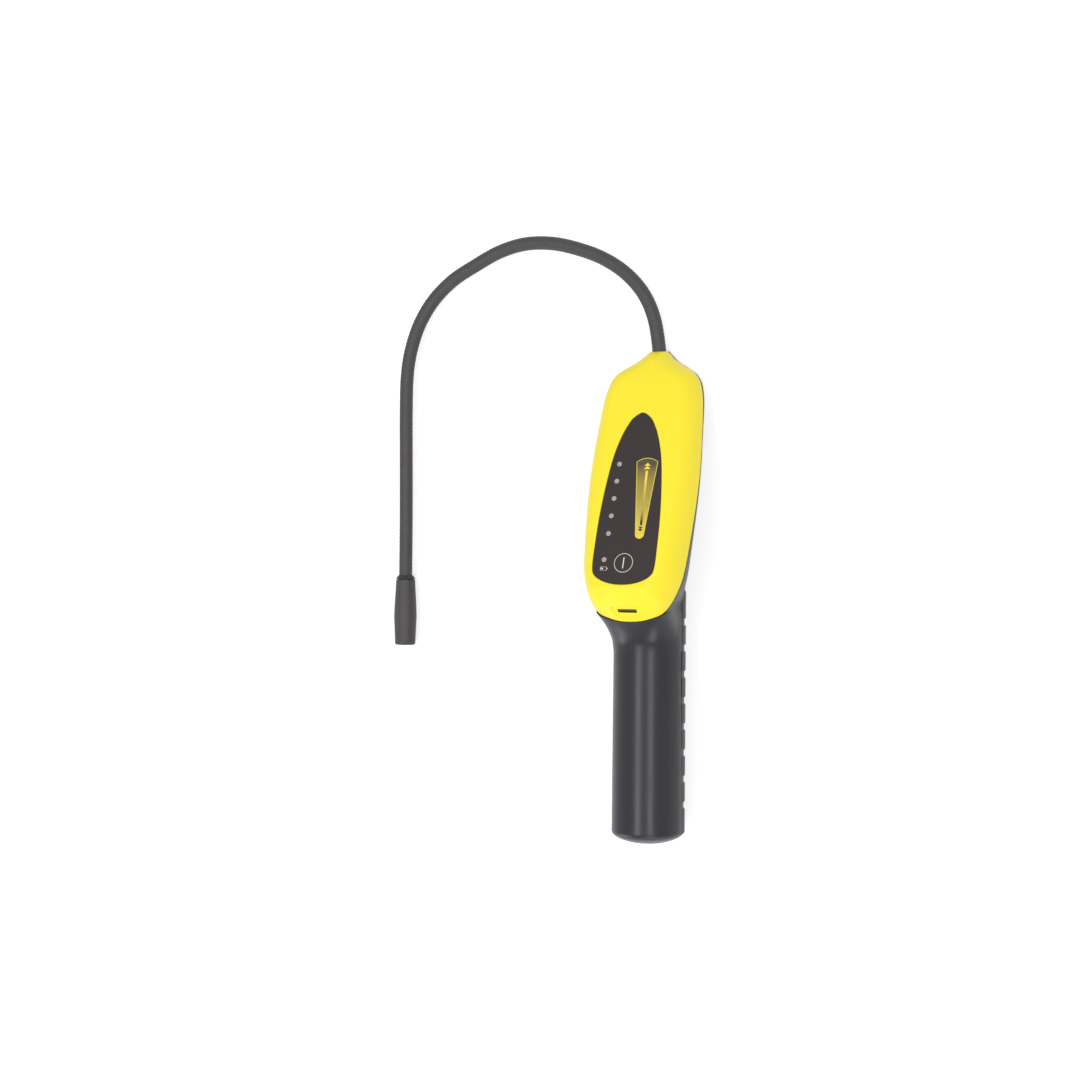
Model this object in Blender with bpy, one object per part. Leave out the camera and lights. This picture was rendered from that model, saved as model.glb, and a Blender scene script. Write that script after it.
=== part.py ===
# Handheld refrigerant leak detector with a gooseneck probe, lying on its back.
# X is to the right seen from the front, Y runs along the grip to the head, and
# Z is up out of the front. The origin is the middle of the battery door's
# middle pad, the flat spot that the instrument lies on.

import bpy
import bmesh
from math import atan2, cos, pi, radians, sin, tan
from mathutils import Matrix, Vector

for item in list(bpy.data.objects):
    bpy.data.objects.remove(item, do_unlink=True)

mm = 0.001

# Clearances
seat_gap = 0.3 * mm
run_gap = 0.5 * mm
cell_play = 0.4 * mm
past = 1.0 * mm                   # how far a cutter runs past the face it opens

# Cells and grip
cell_radius = 17.1 * mm
cell_length = 61.5 * mm
cell_nub_radius = 4.75 * mm
cell_nub_height = 1.5 * mm
cradle_height = 0.9 * mm
cradle_width = 2.2 * mm
cradle_count = 3
grip_wall = 2.2 * mm
grip_end_y = -70.4 * mm
grip_swell = 0.6 * mm
contact_room = 1.2 * mm
spring_room = 8.1 * mm
end_cap_depth = 5.8 * mm

# The end cap's dome, as shares of its radius and depth
end_cap_curve = [(0.28, 0.05), (0.57, 0.25), (0.78, 0.50), (0.90, 0.70), (0.97, 0.87), (1.0, 1.0)]

# Battery door
door_wall = 2.5 * mm
pad_rise = 0.8 * mm
pad_flat = 0.5 * mm
pad_pitch = 15.3 * mm
pad_groove = 3.6 * mm
pad_edge = 1.0 * mm
pad_fade = 8.0                    # degrees over which the pads rise from the seam
door_relief = 1.7 * mm            # how far the top end leans back at the seam
door_neck = 10.7 * mm             # lap of the door over the neck's core
tongue_width = 12.0 * mm
tongue_thickness = 1.2 * mm
tongue_reach = 1.9 * mm
tongue_height = 1.6 * mm
tongue_swing = 1.1 * mm           # room over the tongue as the door swings
ear_top = 2.7 * mm
ear_low_run = 3.8 * mm
ear_high_run = 9.2 * mm
ear_from_top = 2.0 * mm
ear_swing = 0.3 * mm              # more room past the ears, which swing out as the door opens
ear_thickness = 2.2 * mm

# Head
panel_tilt = radians(18.25)
parting_tilt = radians(16.3)
ring_y = 88.7 * mm
panel_over_axis = 40.0 * mm
nose_h = 135.6 * mm
chin_h = -29.7 * mm
head_half_width = 33.4 * mm
nose_depth = 14.4 * mm
edge_roll = 11.0 * mm
edge_power = 1.8
chin_roll = 14.6 * mm
chin_power = 1.14
chin_blend = 11.0 * mm            # height over which the sides' roll turns into the chin's slope
cover_wall = 2.2 * mm
deck_wall = 2.0 * mm
nose_fall_run = 35.6 * mm
nose_fall = 4.2 * mm
nose_lip = 0.73 * mm
nose_blend = 63.0 * mm
nose_fine = 22.0 * mm
head_wall = 2.4 * mm
keel_half_width = 8.0 * mm
keel_power = 1.47
keel_power_nose = 3.7
neck_low = 35.0 * mm
neck_high = 59.0 * mm
neck_rise = 14.2 * mm
neck_spread = 6.7 * mm
neck_square = 1.9
neck_ease = 1.8
neck_buried = 0.4 * mm           # the flare starts this far under the grip
ring_step = 0.05 * mm             # keeps an inset outline from folding over
nose_block = 11.0 * mm
bulkhead = 5.0 * mm
neck_stub = 22.0 * mm             # how far the grip's core runs on into the head
neck_stub_taper = 4.5 * mm
neck_lap = 7.0 * mm

# Head outline from the nose to the chin, as shares of its half width and its length
head_outline = [
    (0.0, 1.0), (0.132, 0.9982), (0.2036, 0.9885), (0.3353, 0.9618), (0.533, 0.9364), (0.7305, 0.9085),
    (0.859, 0.860), (0.937, 0.760), (1.0, 0.5115), (0.946, 0.263), (0.862, 0.1327), (0.647, 0.0412),
    (0.329, 0.0085), (0.0, 0.0),
]

# Snap slot in the chin, with a shallow dish round it and the housing's snap arm behind it
slot_at = 0.44                    # share of the chin's slope, from its foot
slot_half_width = 6.2 * mm
slot_half_height = 1.0 * mm
dish_top_half = 11.5 * mm
dish_low_half = 6.8 * mm
dish_up = 4.2 * mm
dish_down = 3.3 * mm
dish_depth = 1.1 * mm
dish_draft = 1.6 * mm
arm_thickness = 1.5 * mm
arm_root = 3.0 * mm
arm_clear = 2.1 * mm              # the chin bends away on either side of the slot

# Front panel
overlay_half_width = 19.05 * mm
overlay_low_h = -13.4 * mm
overlay_high_h = 91.2 * mm
overlay_film = 0.45 * mm
overlay_sunk = 0.05 * mm
button_radius = 5.2 * mm
button_rim = 0.7 * mm
button_rim_height = 0.8 * mm
button_travel = 0.6 * mm
ring_h = -0.4 * mm
led_radius = 1.45 * mm
led_x_low = -11.3 * mm
led_x_high = -10.0 * mm
led_h_low = 16.7 * mm
led_pitch = 10.68 * mm
led_count = 5
battery_led_x = -11.9 * mm
battery_led_h = 0.6 * mm

# Overlay outline from the top to the bottom, as shares of its half width and its length
overlay_shape = [
    (0.0, 1.0), (0.1995, 0.9818), (0.3727, 0.9465), (0.588, 0.8604), (0.777, 0.7304), (0.903, 0.5583),
    (0.976, 0.3862), (1.0, 0.2141), (0.992, 0.0994), (0.903, 0.0526), (0.640, 0.0210), (0.3255, 0.0048),
    (0.0, 0.0),
]

# Board and what is on it
board_depth = 7.2 * mm
board_thickness = 1.6 * mm
board_half_width = 18.5 * mm
board_low_h = -9.0 * mm
board_from_nose = 37.6 * mm
board_corner = 4.0 * mm
board_screw_x = 15.0 * mm
board_screw_inset = 4.5 * mm
post_radius = 2.9 * mm
switch_side = 6.0 * mm
switch_height = 2.2 * mm
chip_side = 11.0 * mm
chip_height = 1.6 * mm
sounder_radius = 6.0 * mm
sounder_height = 7.0 * mm
capacitor_radius = 4.0 * mm
capacitor_height = 10.0 * mm
coil_radius = 4.6 * mm
coil_height = 4.5 * mm
socket_length = 9.0 * mm
socket_width = 5.5 * mm
socket_height = 6.0 * mm
chip_at = (-3.0 * mm, 39.0 * mm)  # across, and up from the board's low end
sounder_at = (9.0 * mm, 21.0 * mm)
capacitor_at = (-10.0 * mm, 43.0 * mm)   # across, and down from the board's high end
coil_at = (6.0 * mm, 43.0 * mm)
header_at = (0.0, 14.0 * mm)

# Screws
screw_radius = 1.5 * mm
screw_head_radius = 2.8 * mm
screw_head_height = 1.9 * mm
cover_screw_x = 17.5 * mm
cover_screw_from_nose = 29.6 * mm
cover_screw_seat = 4.2 * mm
cover_screw_length = 9.0 * mm
board_screw_length = 4.6 * mm
boss_wall = 1.8 * mm

# Gooseneck and sensor tip
gooseneck_radius = 4.15 * mm
gooseneck_bore = 2.9 * mm
core_radius = 2.6 * mm
ferrule_radius = 5.0 * mm
ferrule_length = 3.0 * mm
collar_radius = 5.95 * mm
collar_length = 2.4 * mm
socket_radius = 4.9 * mm
socket_depth = 15.0 * mm
sensor_radius = 4.1 * mm
sensor_length = 9.0 * mm
cap_length = 40.5 * mm
cap_radius = 7.0 * mm
cap_widest = 25.5 * mm
cap_end_radius = 6.3 * mm
inlet_radius = 4.5 * mm
inlet_depth = 7.5 * mm
filter_thickness = 1.5 * mm
vent_width = 1.4 * mm
vent_length = 2.6 * mm
vent_place = 17.0 * mm

# The probe is bent by hand into a low hoop on the left. Points on its centre line, from its exit.
gooseneck_route = [
    (0.0, -10.7), (0.0, 0.0), (-3.3, 18.8), (-10.2, 33.8), (-21.5, 46.3),
    (-36.0, 55.8), (-52.5, 62.3), (-70.0, 66.5), (-88.0, 66.9), (-105.0, 62.8),
    (-121.0, 55.3), (-136.3, 46.8), (-149.3, 35.3), (-158.8, 21.3),
    (-164.7, 5.8), (-167.6, -10.7), (-168.2, -33.7), (-168.0, -63.7),
    (-167.8, -98.7), (-167.9, -134.8),
]

# What follows from the sizes above
bay_radius = cell_radius + cell_play + cradle_height
grip_radius = bay_radius + grip_wall
door_radius = bay_radius + door_wall
pad_radius = door_radius + pad_rise
axis_height = pad_radius - pad_flat
core_seat_radius = bay_radius - seat_gap
bay_top_y = grip_end_y + 2 * cell_length + seat_gap + contact_room + spring_room
door_top_y = bay_top_y + door_neck
door_low_y = grip_end_y + seat_gap
panel_origin = Vector((0, ring_y, axis_height + panel_over_axis))
panel_matrix = Matrix.Translation(panel_origin) @ Matrix.Rotation(-panel_tilt, 4, "X")
grip_matrix = Matrix.Translation((0, 0, axis_height)) @ Matrix.Rotation(-pi / 2, 4, "X")
parting_rise = tan(panel_tilt - parting_tilt)
deck_inside = overlay_sunk + overlay_film + seat_gap + deck_wall
film_under = overlay_sunk + overlay_film
parting_point = panel_matrix @ Vector((0, nose_h, -nose_depth))
exit_y = parting_point.y + nose_lip
board_high_h = nose_h - board_from_nose
board_screw_low_h = board_low_h + board_screw_inset
board_screw_high_h = board_high_h - board_screw_inset
cover_screw_h = nose_h - cover_screw_from_nose
pads_up = round((door_top_y - pad_pitch / 2) / pad_pitch)
pads_down = round((-door_low_y - pad_pitch / 2) / pad_pitch)
beyond = 2 * (nose_h + cell_length)   # a cutter this long clears the whole part


def colour_material(name, colour, roughness, metallic=0.0):
    material = bpy.data.materials.new(name)
    material.use_nodes = True
    shader = material.node_tree.nodes["Principled BSDF"]
    shader.inputs["Base Color"].default_value = (*colour, 1.0)
    shader.inputs["Roughness"].default_value = roughness
    shader.inputs["Metallic"].default_value = metallic
    return material


black_plastic = colour_material("black_plastic", (0.052, 0.050, 0.056), 0.42)
yellow_plastic = colour_material("yellow_plastic", (0.98, 0.82, 0.06), 0.38)
dark_film = colour_material("dark_film", (0.056, 0.052, 0.053), 0.35)
door_plastic = colour_material("door_plastic", (0.060, 0.058, 0.063), 0.50)
cell_jacket = colour_material("cell_jacket", (0.10, 0.16, 0.26), 0.35)
spring_steel = colour_material("spring_steel", (0.62, 0.61, 0.58), 0.30, 1.0)
board_green = colour_material("board_green", (0.03, 0.16, 0.07), 0.45)
chip_black = colour_material("chip_black", (0.02, 0.02, 0.022), 0.55)
lens_grey = colour_material("lens_grey", (0.52, 0.49, 0.48), 0.30)
hose_black = colour_material("hose_black", (0.085, 0.080, 0.088), 0.60)
cap_rubber = colour_material("cap_rubber", (0.078, 0.075, 0.082), 0.62)
filter_felt = colour_material("filter_felt", (0.75, 0.74, 0.70), 0.90)
plated_brass = colour_material("plated_brass", (0.66, 0.55, 0.33), 0.35, 1.0)


def new_object(name, mesh, material=None, parent=None):
    item = bpy.data.objects.new(name, mesh)
    bpy.context.scene.collection.objects.link(item)
    if material:
        mesh.materials.append(material)
    item.parent = parent
    return item


def from_bmesh(name, shape, material=None, parent=None, crease=35):
    bmesh.ops.recalc_face_normals(shape, faces=shape.faces)
    mesh = bpy.data.meshes.new(name)
    shape.to_mesh(mesh)
    shape.free()
    mesh.shade_smooth()
    mesh.set_sharp_from_angle(angle=radians(crease))
    return new_object(name, mesh, material, parent)


def frame_empty(name, matrix, parent=None):
    empty = bpy.data.objects.new(name, None)
    bpy.context.scene.collection.objects.link(empty)
    empty.parent = parent
    empty.matrix_local = matrix
    empty.empty_display_size = 0.01
    return empty


def loft(rings, shape=None, closed_path=False):
    # Skins rings of equally many points and caps the two ends
    shape = shape or bmesh.new()
    loops = [[shape.verts.new(point) for point in ring] for ring in rings]
    pairs = list(zip(loops, loops[1:]))
    if closed_path:
        pairs.append((loops[-1], loops[0]))
    for near, far in pairs:
        for i in range(len(near)):
            j = (i + 1) % len(near)
            shape.faces.new((near[i], near[j], far[j], far[i]))
    if not closed_path:
        shape.faces.new(list(reversed(loops[0])))
        shape.faces.new(loops[-1])
    return shape


def turned(profile, sides, shape=None, place=Matrix()):
    # A closed profile of radius and height, turned round the local Z axis
    shape = shape or bmesh.new()
    rings = []
    for radius, height in profile:
        if radius < 1e-7:
            rings.append([shape.verts.new(place @ Vector((0, 0, height)))])
            continue
        turn = [2 * pi * k / sides for k in range(sides)]
        ring = [Vector((radius * cos(a), radius * sin(a), height)) for a in turn]
        rings.append([shape.verts.new(place @ point) for point in ring])
    for near, far in zip(rings, rings[1:] + rings[:1]):
        if len(near) == 1 and len(far) == 1:
            continue
        for i in range(sides):
            j = (i + 1) % sides
            corners = [near[i % len(near)], near[j % len(near)], far[j % len(far)], far[i % len(far)]]
            shape.faces.new(list(dict.fromkeys(corners)))
    return shape


def prism(outline, low, high, axis="Z", shape=None, place=Matrix()):
    # A flat outline pushed along one axis; its points are the other two coordinates
    order = {"X": (2, 0, 1), "Y": (0, 2, 1), "Z": (0, 1, 2)}[axis]

    def spot(point, level):
        coords = (point[0], point[1], level)
        return place @ Vector([coords[k] for k in order])

    return loft([[spot(point, level) for point in outline] for level in (low, high)], shape)


def block(low, high, shape=None, place=Matrix()):
    outline = [(low[0], low[1]), (high[0], low[1]), (high[0], high[1]), (low[0], high[1])]
    return prism(outline, low[2], high[2], "Z", shape, place)


def rounded_rectangle(half_width, low, high, radius, steps=3):
    points = []
    corners = ((half_width, high), (-half_width, high), (-half_width, low), (half_width, low))
    for start, (x, y) in zip((0, 90, 180, 270), corners):
        middle = Vector((x - radius * (1 if x > 0 else -1), y - radius * (1 if y == high else -1)))
        for k in range(steps + 1):
            angle = radians(start + 90 * k / steps)
            points.append((middle.x + radius * cos(angle), middle.y + radius * sin(angle)))
    return points


def rod(radius, low, high, sides=20, shape=None, place=Matrix()):
    return turned([(0, low), (radius, low), (radius, high), (0, high)], sides, shape, place)


def smooth_path(points, steps):
    # A smooth curve through every point
    points = [Vector(point) for point in points]
    path = []
    for i in range(len(points) - 1):
        before = points[i - 1] if i else 2 * points[0] - points[1]
        after = points[i + 2] if i + 2 < len(points) else 2 * points[-1] - points[-2]
        start, end = points[i], points[i + 1]
        for k in range(steps):
            t = k / steps
            bend = (2 * before - 5 * start + 4 * end - after) * t * t
            twist = (3 * start - before - 3 * end + after) * t * t * t
            path.append(0.5 * (2 * start + (end - before) * t + bend + twist))
    path.append(points[-1])
    return path


def boolean(target, tool, operation):
    step = target.modifiers.new(tool.name, "BOOLEAN")
    step.operation = operation
    step.solver = "EXACT"
    step.object = tool
    tool.hide_render = True
    tool.display_type = "WIRE"


def cut(target, shape, name, parent=None):
    tool = from_bmesh(name, shape, parent=parent)
    boolean(target, tool, "DIFFERENCE")
    return tool


def add(target, shape, name, parent=None):
    tool = from_bmesh(name, shape, parent=parent)
    boolean(target, tool, "UNION")
    return tool


# Frames that the pieces sit in
panel = frame_empty("panel_frame", panel_matrix)
grip_axis = frame_empty("grip_axis", grip_matrix)


def half_outline(steps):
    # The head's outline on the parting plane, right side, from the nose to the chin
    corners = [(x * head_half_width, chin_h + rise * (nose_h - chin_h)) for x, rise in head_outline]
    ends = [(-corners[1][0], corners[1][1]), (-corners[-2][0], corners[-2][1])]
    path = smooth_path(ends[:1] + corners + ends[1:], steps)
    return path[steps:-steps]


def parting_depth(h):
    return nose_depth + (nose_h - h) * parting_rise


def half_width_at(h):
    # Half width of the head outline at one height along the panel
    path = half_outline(6)
    for upper, lower in zip(path, path[1:]):
        if lower.y <= h <= upper.y:
            return upper.x + (lower.x - upper.x) * (upper.y - h) / (upper.y - lower.y)
    return 0.0


def parting_height(y):
    return parting_point.z - (y - parting_point.y) * tan(parting_tilt)


def panel_height_of(y):
    # Height along the panel of the parting plane's point at this Y
    reach = y - ring_y + sin(panel_tilt) * (nose_depth + nose_h * parting_rise)
    return reach / (cos(panel_tilt) + parting_rise * sin(panel_tilt))


def edge_at(h, turn, wall):
    # How far in, and at which share of the depth, the rounded edge is after a share of its turn
    share = min(1.0, max(0.0, (chin_h + chin_blend - h) / chin_blend))
    share = share * share * (3 - 2 * share)
    roll = edge_roll + (chin_roll - edge_roll) * share - 0.5 * wall
    power = edge_power + (chin_power - edge_power) * share
    angle = pi / 2 * turn
    return roll * (1 - max(cos(angle), 0.0) ** (2 / power)), 1 - sin(angle) ** (2 / power)


def cover_ring(wall, turn, drop, steps):
    # The outline moved inwards and up by one share of the rounded edge
    side = half_outline(steps)
    ring = []
    for i, point in enumerate(side):
        reach, level = edge_at(point.y, turn, wall)
        inset = wall + reach
        before = side[i - 1] if i else Vector((-side[1].x, side[1].y))
        after = side[i + 1] if i + 1 < len(side) else Vector((-side[-2].x, side[-2].y))
        run = (after - before).normalized()
        x = point.x + run.y * inset
        h = point.y - run.x * inset
        x = max(x, 0.15 * point.x) if 0 < i < len(side) - 1 else 0.0
        h = min(h, ring[-1].y - ring_step) if ring else h
        fall = nose_fall * max(0.0, (h - nose_h + nose_fall_run) / nose_fall_run) ** 2
        top = drop + fall
        ring.append(Vector((x, h, -(top + (parting_depth(h) - top) * level))))
    mirrored = [Vector((-p.x, p.y, p.z)) for p in reversed(ring[1:-1])]
    return ring + mirrored


def cover_shell(name):
    steps = 2
    shape = bmesh.new()
    skins = []
    for wall, drop, turns in ((0.0, 0.0, 7), (cover_wall, deck_inside, 4)):
        rings = [cover_ring(wall, k / (turns - 1), drop, steps) for k in range(turns)]
        loops = [[shape.verts.new(point) for point in ring] for ring in rings]
        for near, far in zip(loops, loops[1:]):
            for i in range(len(near)):
                j = (i + 1) % len(near)
                shape.faces.new((near[i], near[j], far[j], far[i]))
        deck = loops[-1]
        count = len(deck)
        for i in range(count // 2):
            corners = [deck[i], deck[i + 1], deck[count - i - 1], deck[(count - i) % count]]
            shape.faces.new(list(dict.fromkeys(corners)))
        skins.append(loops[0])
    outer, inner = skins
    for i in range(len(outer)):
        j = (i + 1) % len(outer)
        shape.faces.new((outer[i], outer[j], inner[j], inner[i]))
    return from_bmesh(name, shape, yellow_plastic, panel, 40)


def chin_spot(turn):
    # A point of the chin's slope in the middle of the cover
    reach, level = edge_at(chin_h, turn, 0.0)
    return Vector((0, chin_h + reach, -parting_depth(chin_h + reach) * level))


# The chin's frame has Y up its slope and Z out of it
chin_middle = chin_spot(slot_at)
chin_rise = chin_spot(slot_at + 0.05) - chin_spot(slot_at - 0.05)
chin_turn = atan2(chin_rise.z, chin_rise.y)
chin = frame_empty("chin_frame", Matrix.Translation(chin_middle) @ Matrix.Rotation(chin_turn, 4, "X"), panel)
arm_foot = (chin_middle - chin_spot(0.0)).length + arm_root


# Rear of the head, a boat-like tub under the parting plane
def tub_ring(y, inset, floor, over, steps=7):
    height = parting_height(y)
    nearness = max(0.0, 1 - (parting_point.y - y) / nose_blend)
    power = keel_power + (keel_power_nose - keel_power) * nearness ** 2
    width = half_width_at(panel_height_of(y))
    keel = min(keel_half_width, 0.42 * width)
    width = width - inset
    keel = max(keel - 0.6 * inset, 0.4 * mm)
    side = [Vector((width, y, height + over))] if over else []
    for k in range(steps + 1):
        angle = pi / 2 * k / steps
        x = keel + (width - keel) * max(cos(angle), 0.0) ** (2 / power)
        z = height - (height - floor) * sin(angle) ** (2 / power)
        side.append(Vector((x, y, z)))
    return side + [Vector((-p.x, p.y, p.z)) for p in reversed(side)]


def spread(low, high, count, ease=1.0):
    return [low + (high - low) * (k / (count - 1)) ** ease for k in range(count)]


def neck_ring(y, sides=36):
    # Round at the grip, fuller and squarer towards the chin
    share = min(1.0, max(0.0, (y - neck_low) / (neck_high - neck_low))) ** neck_ease
    power = 2 + neck_square * share
    start = grip_radius - neck_buried * (1 - share)
    ring = []
    for k in range(sides):
        angle = 2 * pi * k / sides
        c, s = cos(angle), sin(angle)
        if s <= 1e-9:
            low = grip_radius - neck_buried
            ring.append(Vector((low * c, y, axis_height + low * s)))
            continue
        width = start + neck_spread * share * s
        x = width * abs(c) ** (2 / power) * (1 if c > 0 else -1)
        ring.append(Vector((x, y, axis_height + (start + neck_rise * share) * s ** (2 / power))))
    return ring


def door_top_at(height, gap=0.0):
    return door_top_y + gap - door_relief * height / axis_height


def ear_outline(gap):
    high = door_top_y - ear_from_top + gap + (ear_swing if gap else 0.0)
    low = door_top_y - ear_from_top - ear_high_run - ear_low_run - gap
    peak = door_top_y - ear_from_top - ear_high_run
    base = axis_height - seat_gap / 2
    top = base + ear_top + gap
    return [(low, base - 1.5 * mm), (high, base - 1.5 * mm), (high, base), (peak, top), (low, base)]


def main_housing():
    end_y = grip_end_y - end_cap_depth
    end_radius = grip_radius + grip_swell
    profile = [
        (0, end_y), *[(end_radius * r, end_y + end_cap_depth * rise) for r, rise in end_cap_curve],
        (grip_radius, neck_low), (grip_radius, neck_high),
        (grip_radius - neck_stub_taper, door_top_y + neck_stub), (0, door_top_y + neck_stub),
    ]
    housing = from_bmesh("main_housing", turned(profile, 48, place=grip_matrix), black_plastic, crease=32)
    add(housing, loft([neck_ring(y) for y in spread(neck_low, neck_high + neck_lap, 9)]), "neck_flare")
    nose_end = parting_point.y
    fine_from = nose_end - nose_fine
    rows = spread(neck_high, fine_from, 9)[:-1] + spread(fine_from, nose_end - nose_lip, 7)
    tub = [tub_ring(y, 0.0, 0.0, 0.0) for y in rows]
    tub.append(tub_ring(nose_end - 0.1 * nose_lip, 0.5 * nose_lip, 0.7 * nose_lip, 0.0))
    add(housing, loft(tub), "head_tub")
    slope = Matrix.Translation(parting_point) @ Matrix.Rotation(-parting_tilt, 4, "X")
    over = block((-beyond, -beyond, -seat_gap), (beyond, beyond, beyond), place=slope)
    cut(housing, over, "over_parting")
    cut(housing, block((-beyond, -beyond, -beyond), (beyond, beyond, 0)), "under_rest")
    hollow_head(housing)
    hollow_grip(housing)
    add(housing, snap_arm(), "snap_arm", chin)
    return housing


def snap_arm():
    # Rises from the chin wall inside the cover, with a catch that stands in the slot
    outer = -cover_wall - arm_clear
    half = slot_half_width - seat_gap
    tall = slot_half_height - seat_gap
    catch = -dish_depth - 2 * seat_gap
    outline = [
        (-arm_foot, outer - arm_thickness), (tall, outer - arm_thickness), (tall, catch), (-tall, catch),
        (-tall, outer), (-arm_foot, outer),
    ]
    return prism(outline, -half, half, "X")


def hollow_head(housing):
    back = door_top_y + run_gap + bulkhead
    front = parting_point.y - nose_block
    rows = spread(back, front, 9)
    cavity = cut(housing, loft([tub_ring(y, head_wall, head_wall, 4 * mm) for y in rows]), "head_cavity")
    depth = parting_depth(cover_screw_h)
    boss = screw_head_radius + seat_gap + boss_wall
    for side in (-1, 1):
        spot = Matrix.Translation((side * cover_screw_x, cover_screw_h, 0))
        keep = rod(boss, -depth - 30 * mm, -depth - seat_gap, 20, place=spot)
        name = "boss_left" if side < 0 else "boss_right"
        boolean(cavity, from_bmesh(name, keep, parent=panel), "DIFFERENCE")
        bore = screw_head_radius + seat_gap
        seat = -depth - cover_screw_seat
        stepped = [
            (0, -depth - 30 * mm), (bore, -depth - 30 * mm), (bore, seat),
            (screw_radius + seat_gap, seat), (screw_radius + seat_gap, past), (0, past),
        ]
        cut(housing, turned(stepped, 20, place=spot), "counterbore", panel)
    nose_bore(housing)


def nose_bore(piece):
    # The gooseneck's way out, with a pocket for the ferrule
    radius = gooseneck_radius + seat_gap
    pocket = ferrule_radius + seat_gap
    middle = exit_y - nose_block / 2
    half = ferrule_length / 2 + seat_gap
    profile = [
        (0, exit_y - nose_block - 8 * mm), (radius, exit_y - nose_block - 8 * mm), (radius, middle - half),
        (pocket, middle - half), (pocket, middle + half), (radius, middle + half),
        (radius, exit_y + 8 * mm), (0, exit_y + 8 * mm),
    ]
    place = Matrix.Translation((0, 0, cap_radius)) @ Matrix.Rotation(-pi / 2, 4, "X")
    cut(piece, turned(profile, 24, place=place), piece.name + "_nose_bore")


def hollow_grip(housing):
    seam = axis_height + seat_gap / 2
    reach = 40 * mm
    outline = [
        (grip_end_y, -reach), (door_top_at(-reach, run_gap), -reach),
        (door_top_at(seam, run_gap), seam), (grip_end_y, seam),
    ]
    space = cut(housing, prism(outline, -reach, reach, "X"), "door_space")
    core = rod(core_seat_radius, bay_top_y, door_top_y + 20 * mm, 48, place=grip_matrix)
    boolean(space, from_bmesh("neck_core", core), "DIFFERENCE")
    profile = [(0, grip_end_y), (bay_radius, grip_end_y)]
    step = (bay_top_y - grip_end_y) / cradle_count
    for k in range(cradle_count):
        middle = grip_end_y + step * (k + 0.5)
        profile += [
            (bay_radius, middle - cradle_width / 2), (cell_radius + cell_play, middle - cradle_width / 2),
            (cell_radius + cell_play, middle + cradle_width / 2), (bay_radius, middle + cradle_width / 2),
        ]
    profile += [(bay_radius, bay_top_y), (0, bay_top_y)]
    cut(housing, turned(profile, 48, place=grip_matrix), "battery_bay")
    notches = bmesh.new()
    for side in (-1, 1):
        near, far = sorted((side * (core_seat_radius - run_gap), side * (grip_radius + 8 * mm)))
        prism(ear_outline(seat_gap), near, far, "X", notches)
    cut(housing, notches, "ear_notches")
    width = tongue_width / 2 + seat_gap
    low = tongue_height - seat_gap
    high = tongue_height + tongue_thickness + tongue_swing
    slot = block((-width, grip_end_y - tongue_reach - 2 * seat_gap, low), (width, grip_end_y + past, high))
    cut(housing, slot, "tongue_slot")


def battery_door():
    pads = []
    half = (pad_pitch - pad_groove) / 2
    for k in range(-pads_down, pads_up + 1):
        low = door_low_y if k == -pads_down else pad_pitch * k - half
        high = door_top_y if k == pads_up else pad_pitch * k + half
        pads.append((low, high))

    def section(angle):
        # Angle 0 is one seam, 180 the other, 90 the pads' flat
        rise = pad_rise * min(1.0, min(angle, 180 - angle) / pad_fade)
        turn = radians(180 + angle)
        if angle in (0, 180):
            rise = 0.25 * pad_rise
        radii = []
        for low, high in pads:
            radii += [
                (low, door_radius), (low + pad_edge * 0.4, door_radius + 0.75 * rise),
                (low + pad_edge, door_radius + rise), (high - pad_edge, door_radius + rise),
                (high - pad_edge * 0.4, door_radius + 0.75 * rise), (high, door_radius),
            ]
        radii += [(door_top_y, bay_radius), (door_low_y, bay_radius)]
        loop = []
        for y, radius in radii:
            height = axis_height + radius * sin(turn)
            lean = door_relief * height / axis_height if y > door_top_y - 2 * pad_edge else 0.0
            loop.append(Vector((radius * cos(turn), y - lean, height)))
        lowered = seat_gap / 2 if angle in (0, 180) else 0.0
        return [point - Vector((0, 0, lowered)) for point in loop]

    angles = [0, 4, 8] + [8 + 164 * k / 12 for k in range(1, 12)] + [172, 176, 180]
    door = from_bmesh("battery_door", loft([section(angle) for angle in angles]), door_plastic, crease=28)
    ears = bmesh.new()
    for side in (-1, 1):
        near, far = sorted((side * (bay_radius + 0.1 * mm), side * (bay_radius + ear_thickness)))
        prism(ear_outline(0.0), near, far, "X", ears)
    add(door, ears, "squeeze_ears")
    width = tongue_width / 2
    tongue = block((-width, grip_end_y - tongue_reach, tongue_height),
                   (width, door_low_y + past, tongue_height + tongue_thickness))
    add(door, tongue, "door_tongue")
    cut(door, block((-beyond, -beyond, -beyond), (beyond, beyond, 0)), "door_flat")
    return door


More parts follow.
